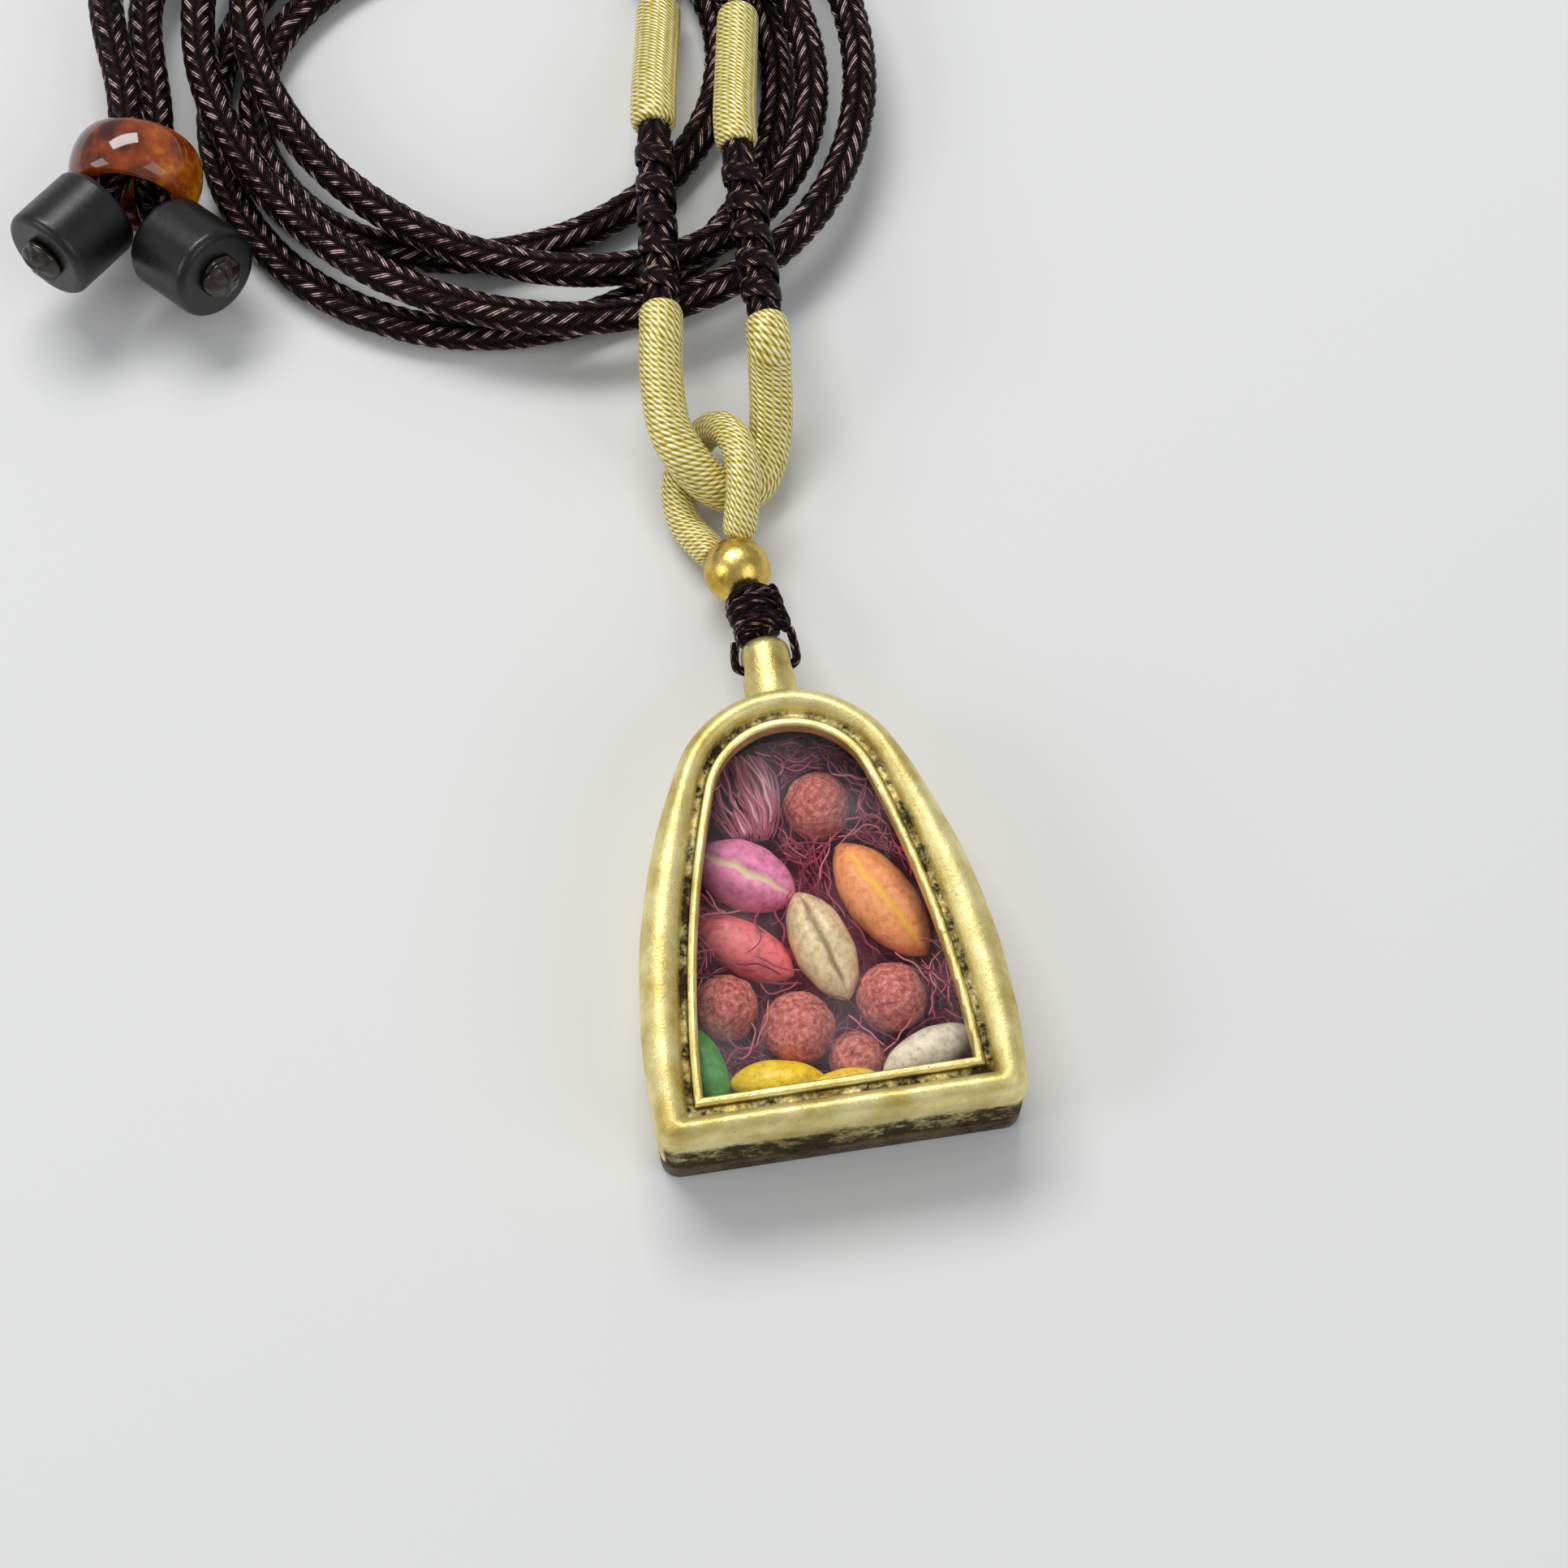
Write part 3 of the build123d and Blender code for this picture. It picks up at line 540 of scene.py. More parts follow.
def bound_neck(side, start, end):
    """A neck's braid and the band wound around it."""
    way = unit(end - start)
    route = [start, (start + end) / 2, end]
    braid = braid_along(route, NECK_SPACING, radius=NECK_RADIUS, around=NECK_SIDES, depth=NECK_DEPTH)
    core = make_piece(f"{side}_neck_braid", [braid], "necklace", [f"{side}_neck"], bound_finish)
    across, upward = across_way(way)
    pitch = (np.linalg.norm(end - start) - 2 * WRAP_ROOM) / WRAP_TURNS
    helix = []
    for step in range(WRAP_TURNS * WRAP_STEPS + 1):
        turn = step / WRAP_STEPS
        swing = across * math.cos(TAU * turn) + upward * math.sin(TAU * turn)
        helix.append(start + way * (WRAP_ROOM + pitch * turn) + swing * WRAP_RADIUS)
    points, stations = spline_line(helix, WRAP_SPACING)
    out = unit_rows(points - start - np.outer((points - start) @ way, way))
    beside = unit_rows(np.cross(np.gradient(points, axis=0), out))
    angles = np.linspace(0, TAU, BAND_SIDES + 1)
    turn = np.linspace(0, BAND_COLUMNS, BAND_SIDES + 1)[None, :]
    along = stations[:, None] / BAND_STITCH
    relief = stitches(along, turn)
    near = np.clip(from_ends(stations) / BAND_END, BAND_END_LEAST, 1)[:, None, None]
    swell = (BAND_VALLEY + (1 - BAND_VALLEY) * relief)[:, :, None] * near
    band = points[:, None] + out[:, None] * (BAND_HALF_HEIGHT * -np.cos(angles))[None, :, None] * swell
    band = band + beside[:, None] * (BAND_HALF_WIDTH * np.sin(angles))[None, :, None] * swell
    wound = patch(band, relief, along, turn, closed=False)
    wrap = make_piece(f"{side}_wrap_braid", [wound], "necklace", [f"{side}_wrap"], bound_finish)
    return [core, wrap]


left_neck = bound_neck("left", left_start, left_end)
right_neck = bound_neck("right", right_start, right_end)

# Hanger: cord through the bail, bound knot and the core through the bead
KNOT_FOOT = np.array((0, BAIL_Y + 2.45, BAIL_Z))
BEAD_CENTRE = np.array((-0.8, BAIL_Y + 8.2, 2.8))
BEAD_RADIUS = 2.25
BEAD_GAP = 0.25
BAIL_SIDE = 2.015
BAIL_CORD_SPREAD = 1.9
BAIL_CORD_RUN = 0.4
BAIL_CORD_RISE = 1.45
FINE_COLUMNS = 4
FINE_STITCH = 0.8
FINE_SPACING = 0.1
hanger_way = unit(BEAD_CENTRE - KNOT_FOOT)
knot_length = np.linalg.norm(BEAD_CENTRE - KNOT_FOOT) - BEAD_RADIUS - BEAD_GAP
knot_side, knot_up = across_way(hanger_way)


def from_knot(climb, side=0.0, up=0.0):
    """Point at a climb from the knot's foot towards the bead, off its axis to the side and up."""
    return KNOT_FOOT + hanger_way * climb + knot_side * side + knot_up * up


def fine_braid(route, **facts):
    return braid_along(route, FINE_SPACING, columns=FINE_COLUMNS, stitch=FINE_STITCH, **facts)


bail_route = [from_knot(0, BAIL_CORD_SPREAD), from_knot(-BAIL_CORD_RUN, BAIL_CORD_SPREAD)]
for hand, rise in ((1, BAIL_CORD_RISE), (1, 0), (-1, 0), (-1, BAIL_CORD_RISE)):
    bail_route.append(np.array((hand * BAIL_SIDE, BAIL_Y + rise, BAIL_Z)))
bail_route += [from_knot(-BAIL_CORD_RUN, -BAIL_CORD_SPREAD), from_knot(0, -BAIL_CORD_SPREAD)]
bail_braid = fine_braid(bail_route, radius=0.32, around=24, depth=0.08)
make_piece("bail_cord_braid", [bail_braid], "hanger", ["bail_cord"], bound_finish)

# Bound knot: an uneven winding, lumps down its right side, a filler and an arch over its foot
KNOT_TURNS = 5
KNOT_STEPS = 20
KNOT_REACH = 1.3
KNOT_SWAY = 0.1
KNOT_START = 0.15
KNOT_WOBBLE = 0.16
LUMPS = 4
LUMP_START = 0.5
LUMP_PITCH = 0.85
LUMP_SIDE = 1.42
LUMP_LIFTS = (0.4, 0.15)
LUMP_SIZE = (0.3, 0.32, 0.6)
ARCH_START = -0.55
ARCH_SIZE = (0.75, 1.6, 0.35)
ARCH_LIFT = 0.75
ARC_POINTS = 13
winding = []
for step in range(KNOT_TURNS * KNOT_STEPS + 1):
    turn = step / KNOT_STEPS
    reach = KNOT_REACH + KNOT_SWAY * math.sin(1.7 * turn * TAU / 3 + 0.6)
    climb = KNOT_START + knot_length * turn / KNOT_TURNS + KNOT_WOBBLE * math.cos(TAU * turn + 0.5)
    winding.append(from_knot(climb, reach * math.cos(TAU * turn), reach * math.sin(TAU * turn)))
knot_parts = [fine_braid(winding, radius=0.46, around=24, depth=0.12, end_round=0.4)]
half_turn = np.linspace(0, math.pi, ARC_POINTS)
for lump in range(LUMPS):
    climb = LUMP_START + LUMP_PITCH * lump
    run, bulge, tall = LUMP_SIZE
    arc = []
    for turn in half_turn:
        side = LUMP_SIDE + bulge * math.sin(turn)
        lift = LUMP_LIFTS[lump % 2] + tall * math.cos(turn)
        arc.append(from_knot(climb + run * math.cos(turn), side, lift))
    knot_parts.append(fine_braid(arc, radius=0.38, around=18, depth=0.1, end_round=0.3))
filler = [from_knot(-0.25), from_knot(knot_length / 2), from_knot(knot_length + 0.1)]
knot_parts.append(
    braid_along(filler, WRAP_SPACING, radius=1.35, around=30, depth=0.15, stitch=BAND_STITCH, end_round=0.5)
)
climb, wide, swell = ARCH_SIZE
arch = [
    from_knot(ARCH_START + climb * math.sin(turn), wide * math.cos(turn), ARCH_LIFT + swell * math.sin(turn))
    for turn in half_turn
]
knot_parts.append(fine_braid(arch, radius=0.36, around=20, depth=0.1, end_round=0.3))
make_piece("hanger_knot_wraps", knot_parts, "hanger", ["hanger_knot"], bound_finish)

CORE_RADIUS = 0.8
core_start = knot_length - 0.2
core_end = knot_length + BEAD_GAP + 2 * BEAD_RADIUS - 0.1
core_route = [from_knot(climb) for climb in (core_start, (core_start + core_end) / 2, core_end)]
core_braid = braid_along(
    core_route, NECK_SPACING, radius=CORE_RADIUS, around=24, depth=0.12, columns=FINE_COLUMNS,
    stitch=BAND_STITCH, end_round=0.3,
)
make_piece("hanger_core_braid", [core_braid], "hanger", ["hanger_core"], bound_finish)

# Melted knots on the ends of the tails
END_KNOT_RADIUS = 1.5
END_KNOT_HEIGHT = 1.05
END_KNOT_ROUND = 2.6
END_KNOT_RINGS = 18
END_KNOT_SIDES = 36
END_KNOT_LUMP = 0.14
END_KNOT_PACE = (2.2, 2.0)
LEAST_REACH = 0.02
knot_finish = Finish("melted_knot", Roughness=0.22, Specular_IOR_Level=0.6)
knot_finish.set("Base Color", knot_finish.ramp(knot_finish.noise(0.6), (0.35, "0a0705"), (0.7, "33221a")))
knot_finish.bump(knot_finish.noise(0.5), 0.05, 0.6)


def melted_knot(side, face, way, shift):
    """Lumpy dome on a tail's end; shift picks its lumps."""
    across, upward = across_way(way)
    rings = []
    for step in range(END_KNOT_RINGS + 1):
        share = step / END_KNOT_RINGS
        reach = END_KNOT_RADIUS * math.sqrt(max(0.0, 1 - share**END_KNOT_ROUND)) + LEAST_REACH
        ring = []
        for place in range(END_KNOT_SIDES):
            angle = TAU * place / END_KNOT_SIDES
            around_pace, up_pace = END_KNOT_PACE
            spot = (around_pace * math.cos(angle), around_pace * math.sin(angle), up_pace * share + shift)
            lump = 1 + END_KNOT_LUMP * noise.noise(spot)
            swing = across * math.cos(angle) + upward * math.sin(angle)
            ring.append(face + way * END_KNOT_HEIGHT * share * lump + swing * reach * lump)
        rings.append(ring)
    dome = patch(np.array(rings))
    return make_piece(f"end_knot_{side}_melt", [dome], "necklace", [f"end_knot_{side}"], knot_finish)


left_knot = melted_knot("left", left_tail[-1], left_splay, 4)
right_knot = melted_knot("right", right_tail[-1], right_splay, 5)

# The free cords of the necklace, taken back out of the table of cords
piece, points, stations = cords["lower_cord"]
piece, points, stations = cords["upper_cord"]


# Brass of the box
def brass(name, light, shade, patina, roughness, grime_and_shade=0.0):
    """Aged brass: clouded tone, patchy patina and painted shade where relief and the extra darkening say,
    pits and fine scratches.
    """
    finish = Finish(name, Metallic=0.85)
    tone = finish.ramp(finish.noise(2.6, 4.0), (0.3, shade), (0.65, light))
    thick = finish.spread(finish.noise(1.7), 0.3, 0.7, -0.3, 0.3)
    speck = finish.spread(finish.noise(0.3, 4.0, 0.7), 0.3, 0.7, -0.22, 0.22)
    hold = finish.plus(finish.plus(finish.value("relief"), grime_and_shade), finish.plus(thick, speck))
    # This mask mixes real patina with painted shade carried in relief and in the extra darkening
    patina_and_shade = finish.spread(hold, 0.32, 0.88)
    pit = finish.spread(finish.noise(0.22, 2.0), 0.70, 0.76, 0.0, 0.7)
    dark = finish.math("MAXIMUM", patina_and_shade, pit)
    finish.set("Base Color", finish.mix(dark, tone, patina))
    wear = finish.spread(finish.noise(0.8, 4.0), 0.3, 0.7, roughness - 0.07, roughness + 0.1)
    finish.set("Roughness", finish.plus(wear, finish.times(dark, 0.3)))
    finish.bump(finish.noise(0.2), 0.06, 0.6)
    finish.bump(finish.noise(1.4, 2.0), 0.1, 0.35)
    return finish


shell_finish = brass("brass_shell", "f5e8a8", "c8ae58", "3d3114", 0.46)
bezel_finish = brass("brass_bezel", "f4e8a8", "cfb968", "4a3c18", 0.42)
bail_finish = brass("brass_bail", "eadb94", "bda256", "33290f", 0.36)
# The cover's dark tones and extra darkening are partly its own darker brass and partly painted shade along
# the foot of the box
cover_finish = brass("brass_cover", "6e5628", "3e2e13", "150f07", 0.42, grime_and_shade=0.4)

# Counts of points along an outline, and the radius of a corner that looks sharp
CORNER_POINTS = 9
SIDE_POINTS = 45
CROWN_POINTS = 24
FOOT_POINTS = 28
SHARP = 0.03


def arch_ring(line, inset, foot_inset, corner=SHARP):
    """Closed ring of an outline drawn in by inset, counter-clockwise from the foot's left end."""
    half, nose, widest, top, foot = line
    rise = top - nose - widest
    radius = (half**2 + rise**2 - nose**2) / (2 * (half - nose))
    centre_x = half - radius
    turn = math.atan2(rise, -centre_x)
    radius -= inset
    nose -= inset
    low = foot + foot_inset
    low_angle = math.asin((low + corner - widest) / radius)
    low_x = centre_x + radius * math.cos(low_angle) - corner
    corners = np.linspace(-math.pi / 2, 0, CORNER_POINTS)
    climb = np.linspace(low_angle, turn, SIDE_POINTS + 1)[1:]
    sweep = np.linspace(turn, math.pi / 2, CROWN_POINTS + 2)[1:-1]
    half_ring = np.concatenate([
        np.stack([low_x + corner * np.cos(corners), low + corner + corner * np.sin(corners)], axis=1),
        np.stack([centre_x + radius * np.cos(climb), widest + radius * np.sin(climb)], axis=1),
        np.stack([nose * np.cos(sweep), top - inset - nose + nose * np.sin(sweep)], axis=1),
    ])
    foot_x = np.linspace(-low_x, low_x, FOOT_POINTS + 2)[1:-1]
    foot_line = np.stack([foot_x, np.full(FOOT_POINTS, low)], axis=1)
    return np.concatenate([foot_line, half_ring, [[0, top - inset]], half_ring[::-1] * (-1, 1)])


def at_height(ring, z):
    return np.concatenate([ring, np.full((len(ring), 1), z)], axis=1)


def between(first, second, share, z):
    """Ring at a share of the way from one ring to another, at a height."""
    return at_height(first * (1 - share) + second * share, z)


def uneven(grid, size, depth):
    """Grid with each point moved along a smooth noise, as in handwork."""
    flat = grid.reshape(-1, 3)
    moves = [noise.noise_vector(Vector(point) / size) * depth for point in flat]
    return (flat + np.array([move[:] for move in moves])).reshape(grid.shape)


# Roll from the outer wall to the groove, and the groove's floor: share of the way across, height, darkening
# (patina in the groove; on the outer wall, darker towards its bottom)
SHELL_LOW = 2.75
PANE_TOP = 7.2
ROLL_PROFILE = [
    (0, SHELL_LOW, 0.3), (0, 2.95, 0.22), (0, 4.2, 0.1), (0, 5.6, 0.06), (0, 6.7, 0.03), (0.012, 7.3, 0.02),
    (0.05, 7.75, 0), (0.13, 8.2, 0), (0.25, 8.53, 0), (0.4, 8.73, 0), (0.55, 8.8, 0), (0.69, 8.75, 0.02),
    (0.81, 8.6, 0.06), (0.9, 8.4, 0.12), (0.96, 8.15, 0.3), (1.0, 7.93, 0.6),
]
FLOOR_PROFILE = [(0.1, 7.9, 0.72), (0.6, 7.9, 0.7), (1.0, 7.9, 0.62), (1.0, 7.84, 0.6), (1.0, PANE_TOP, 0.5)]
CAVITY_HEIGHTS = (PANE_TOP, 4.9, SHELL_LOW)
CAVITY_PATINA = 0.8
BOX_CORNER = 1.2
GROOVE = 0.45
WALL = 1.5
# Painted shade on the lower front wall of the foot: its strength, its top and the line in front of which it
# lies
FOOT_SHADE = 0.75
FOOT_SHADE_TOP = 6.5
FOOT_SHADE_Y = -13.9
HAND_SIZE = 3.2
HAND_DEPTH = 0.045
outer_ring = arch_ring(BOX_LINE, 0, 0, BOX_CORNER)
groove_ring = arch_ring(BEZEL_LINE, -GROOVE, -GROOVE)
bezel_ring = arch_ring(BEZEL_LINE, 0, 0)
cavity_ring = arch_ring(BOX_LINE, WALL, WALL)
rings = [between(outer_ring, groove_ring, share, height) for share, height, patina_and_shade in ROLL_PROFILE]
rings += [between(groove_ring, bezel_ring, share, height) for share, height, patina_and_shade in FLOOR_PROFILE]
rings += [at_height(cavity_ring, height) for height in CAVITY_HEIGHTS]
rings.append(rings[0])
patina = [patina_and_shade for share, height, patina_and_shade in ROLL_PROFILE + FLOOR_PROFILE]
patina += [CAVITY_PATINA] * len(CAVITY_HEIGHTS) + patina[:1]
# Painted shade: the lower front wall of the foot gets extra patina, darkening it as if it faced away from
# the light
low_rings = np.array([ring[0, 2] for ring in rings]) < FOOT_SHADE_TOP
foot_shade = np.where(low_rings[:, None] & (outer_ring[:, 1] < FOOT_SHADE_Y)[None, :], FOOT_SHADE, 0)
upper_shell = patch(
    uneven(np.array(rings), HAND_SIZE, HAND_DEPTH), np.array(patina)[:, None] + foot_shade, caps=False
)

# Tracks of the sliding back: inset, greatest half-width, height
TRACK_FOOT = 1.85
TRACK_PATINA = 0.25
ANY_WIDTH = 20
TRACK_PROFILE = [
    (0, ANY_WIDTH, SHELL_LOW), (0, ANY_WIDTH, 1.4), (0.1, ANY_WIDTH, 0.1), (0.25, ANY_WIDTH, 0),
    (1.9, 9.33, 0), (1.9, 9.33, 0.45), (0.8, 10.44, 0.45), (0.8, 10.44, 1.42),
    (WALL, ANY_WIDTH, 1.42), (WALL, ANY_WIDTH, SHELL_LOW),
]
track = []
for inset, widest, height in TRACK_PROFILE:
    run = arch_ring(BOX_LINE, inset, TRACK_FOOT)[FOOT_POINTS:]
    run[:, 0] = np.clip(run[:, 0], -widest, widest)
    track.append(at_height(run, height))
lower_shell = patch(np.array(track).transpose(1, 0, 2), TRACK_PATINA)
make_piece("case_shell_brass", [upper_shell, lower_shell], "case", ["case_shell"], shell_finish)


def dress(node, finish):
    """Give a CAD node its material."""
    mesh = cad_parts[node].data
    mesh.materials.clear()
    mesh.materials.append(finish.material)


dress("window_bezel", bezel_finish)
dress("bail", bail_finish)
dress("back_cover", cover_finish)

# Pane: clear and shiny, with hazy patches and hairlines
pane_finish = Finish("pane", Roughness=0.1, IOR=1.5)
haze = pane_finish.noise(5.0, 4.0)
hair = pane_finish.spread(pane_finish.noise(0.5, 3.0, 0.5, stretch=(1, 0.08, 1)), 0.62, 0.7, 0.0, 0.04)
pane_finish.set("Base Color", pane_finish.ramp(haze, (0.3, "8c8c92"), (0.7, "d0d0d6")))
pane_finish.set("Alpha", pane_finish.plus(pane_finish.spread(haze, 0.38, 0.72, 0.01, 0.07), hair))
dress("window_pane", pane_finish)

# Gold bead, amber slider and black barrels keep their solids
gold_finish = Finish("gold_bead", Metallic=1.0)
gold_finish.set("Base Color", gold_finish.ramp(gold_finish.noise(1.4), (0.3, "c39b34"), (0.65, "edd177")))
gold_finish.set("Roughness", gold_finish.spread(gold_finish.noise(0.5), 0.3, 0.7, 0.24, 0.36))
gold_finish.bump(gold_finish.noise(0.3), 0.05, 0.5)
dress("gold_bead", gold_finish)

# The amber is painted brighter orange on its right and near sides, away from the light, as a painted glow of
# light passing through it, and darker towards its back and left as painted shade
PAINTED_GLOW_X = 5
PAINTED_GLOW_Y = 3
amber_finish = Finish(
    "amber", Roughness=0.08, Coat_Weight=0.4, Coat_Roughness=0.04, Transmission_Weight=0.15, IOR=1.5,
    Subsurface_Weight=0.3, Subsurface_Radius=(1.0, 0.35, 0.1), Subsurface_Scale=0.002,
)
amber_x, amber_y, _ = amber_finish.add("SeparateXYZ", {0: amber_finish.place()}).outputs
slider_x, slider_y, _ = SLIDER_CENTRE
painted_glow = amber_finish.plus(
    amber_finish.spread(amber_x, (slider_x - PAINTED_GLOW_X) * MM, (slider_x + PAINTED_GLOW_X) * MM, 0.0, 0.4),
    amber_finish.spread(amber_y, (slider_y - PAINTED_GLOW_Y) * MM, (slider_y + PAINTED_GLOW_Y) * MM, 0.35, 0.0),
)
cloud = amber_finish.spread(amber_finish.noise(2.6), 0.3, 0.7, 0.0, 0.5)
amber_tones = (0.15, "220902"), (0.45, "4e1705"), (0.75, "a84a08"), (1.0, "f09a18")
amber_finish.set("Base Color", amber_finish.ramp(amber_finish.plus(painted_glow, cloud), *amber_tones))
dress("slider_bead", amber_finish)

barrel_finish = Finish("black_barrel", Specular_IOR_Level=0.5)
barrel_tone = barrel_finish.ramp(barrel_finish.noise(1.2), (0.3, "050506"), (0.7, "101011"))
barrel_finish.set("Base Color", barrel_tone)
barrel_finish.set("Roughness", barrel_finish.spread(barrel_finish.noise(0.5), 0.3, 0.7, 0.28, 0.4))
barrel_finish.bump(barrel_finish.noise(0.12), 0.02, 0.5)
dress("end_bead_left", barrel_finish)
dress("end_bead_right", barrel_finish)

# Fibres of the contents
STRAND_SPACING = 0.22
STRAND_TAPER = 0.2
STRAND_TIP = 0.3


def strand(points, radius, around, shade):
    """Thin fibre through a few points, tapered at its ends, as one patch."""
    line, stations = spline_line(points, STRAND_SPACING)
    taper = radius * np.clip(from_ends(stations) / STRAND_TAPER + STRAND_TIP, 0, 1)
    return patch(tube(line, taper[:, None], around), shade, closed=False)


# Pellets: x, y and radius
PELLETS = {
    "top": (1.75, 7.4, 2.2), "left": (-6.05, -5.0, 2.1), "centre": (-1.75, -7.0, 2.3),
    "right": (4.3, -5.9, 2.25), "bottom": (1.5, -9.5, 1.75),
}
PELLET_Z = (WOOL_TOP + PANE_BOTTOM) / 2
PELLET_SHARE = 0.98
PELLET_LUMPS = ((0.05, 1.6), (0.03, 4.5), (0.025, 11))
PELLET_FIBRES = 26
PELLET_FIBRE_RUN = (0.15, 0.45)
PELLET_FIBRE_LIFT = (1.0, 1.03)
PELLET_FIBRE_BOW = (-0.12, 0.12)
PELLET_FIBRE_RADIUS = (0.02, 0.045)
PELLET_FIBRE_SHADE = (0.3, 1.0)
pellet_finish = Finish("pellet", Roughness=0.85, Sheen_Weight=0.25, Sheen_Tint="d8a0a0")
pellet_tones = (0.3, "86342f"), (0.5, "c8665a"), (0.72, "eea693")
pellet_tone = pellet_finish.ramp(pellet_finish.noise(0.35, 4.0), *pellet_tones)
fibre_part = pellet_finish.spread(pellet_finish.value("relief"), 0.5, 0.9)
pellet_finish.set("Base Color", pellet_finish.mix(fibre_part, pellet_tone, "d59a78"))
pellet_finish.bump(pellet_finish.noise(0.22, 4.0), 0.12, 0.9)


def rolled_ball(centre, radius, shift):
    """Patch of a lumpy ball; shift picks its lumps."""
    ball = bmesh.new()
    bmesh.ops.create_icosphere(ball, subdivisions=5, radius=1)
    ways = [vertex.co.copy() for vertex in ball.verts]
    faces = [[vertex.index for vertex in face.verts] for face in ball.faces]
    ball.free()
    points = []
    for way in ways:
        swell = sum(depth * noise.noise(way * pace + shift) for depth, pace in PELLET_LUMPS)
        points.append(centre + np.array(way) * radius * (PELLET_SHARE + swell))
    return np.array(points), faces, np.zeros((len(points), len(VALUES)))


def pellet_fibre(centre, radius):
    """Short bowed fibre on the upper half of a ball."""
    out = Vector((random.gauss(0, 1), random.gauss(0, 1), abs(random.gauss(0, 1)))).normalized()
    side = out.orthogonal().normalized()
    side.rotate(Quaternion(out, random.uniform(0, TAU)))
    run = random.uniform(*PELLET_FIBRE_RUN)
    lift = radius * random.uniform(*PELLET_FIBRE_LIFT)
    bow = out.cross(side) * random.uniform(*PELLET_FIBRE_BOW)
    arc = [
        centre + np.array((out + side * run * place + bow * (1 - place**2)).normalized()) * lift
        for place in (-1, 0, 1)
    ]
    return strand(arc, random.uniform(*PELLET_FIBRE_RADIUS), 4, random.uniform(*PELLET_FIBRE_SHADE))


for index, (name, (x, y, radius)) in enumerate(PELLETS.items()):
    centre = np.array((x, y, PELLET_Z))
    parts = [rolled_ball(centre, radius, Vector((index * 3.1, index, 0)))]
    parts += [pellet_fibre(centre, radius) for fibre in range(PELLET_FIBRES)]
    make_piece(f"pellet_{name}_rolled", parts, "case", [f"pellet_{name}"], pellet_finish)

# Grain: x, y, height above the wool, heading, length, girth, crease turn, slot, husk, crease, gloss
GRAINS = {
    "pink": (-3.6, 3.5, 2.25, -34, 7.2, 4.4, 8, "grain_pink", "f28cb4", "ecd2a8", 0.55),
    "red": (-4.3, -1.2, 1.95, -38, 7.2, 3.5, 150, "grain_red", "f67474", "e8a090", 0.5),
    "cream": (0.55, -2.0, 2.65, -74, 7.8, 3.9, 0, "grain_cream", "e3ca9c", "9a8058", 0.28),
    "orange": (4.75, 0.6, 2.3, -62, 9.2, 4.4, 5, "grain_orange", "ffa060", "f7bd42", 0.55),
    "white": (5.95, -9.95, 3.1, 17, 6.4, 3.0, 140, "grain_white", "e6d9be", "bfb49e", 0.35),
    "yellow_left": (-3.5, -10.55, 3.25, -8, 6.2, 3.0, 140, "grain_yellow", "ffd400", "d09400", 0.35),
    "yellow_right": (0.35, -11.25, 3.65, 4, 4.6, 1.8, 140, "grain_yellow", "ffd200", "d09400", 0.35),
    "green": (-7.75, -9.2, 3.3, 100, 6.0, 2.5, 140, "grain_green", "46a02e", "125018", 0.4),
}
GRAIN_RINGS = 56
GRAIN_SIDES = 44
GRAIN_POINT = 0.02
GRAIN_FULLNESS = 0.86
GRAIN_SHARE = 0.97
GRAIN_ROUGH = 0.05
CREASE_DEPTH = 0.2
CREASE_WIDTH = 0.14
CREASE_WANDER = 0.12
LIP_HEIGHT = 0.03
LIP_OFFSET = 0.42
LIP_WIDTH = 0.22


def grain_finish(name, husk, crease_tone, gloss):
    """Mottled husk with its own tone in the crease."""
    finish = Finish(f"grain_{name}", Roughness=gloss, Specular_IOR_Level=0.5, Subsurface_Weight=0.15,
                    Subsurface_Radius=(0.6, 0.4, 0.3), Subsurface_Scale=0.001)
    base = linear(husk)
    dark = (*[part * 0.55 for part in base[:3]], 1)
    pale = (*[min(1, part * 1.25 + 0.05) for part in base[:3]], 1)
    husk_tone = finish.ramp(finish.noise(0.5, 4.0), (0.25, dark), (0.5, base), (0.75, pale))
    crease = finish.spread(finish.value("relief"), 0.25, 0.8)
    finish.set("Base Color", finish.mix(crease, husk_tone, crease_tone))
    finish.bump(finish.noise(0.2), 0.07, 0.5)
    return finish


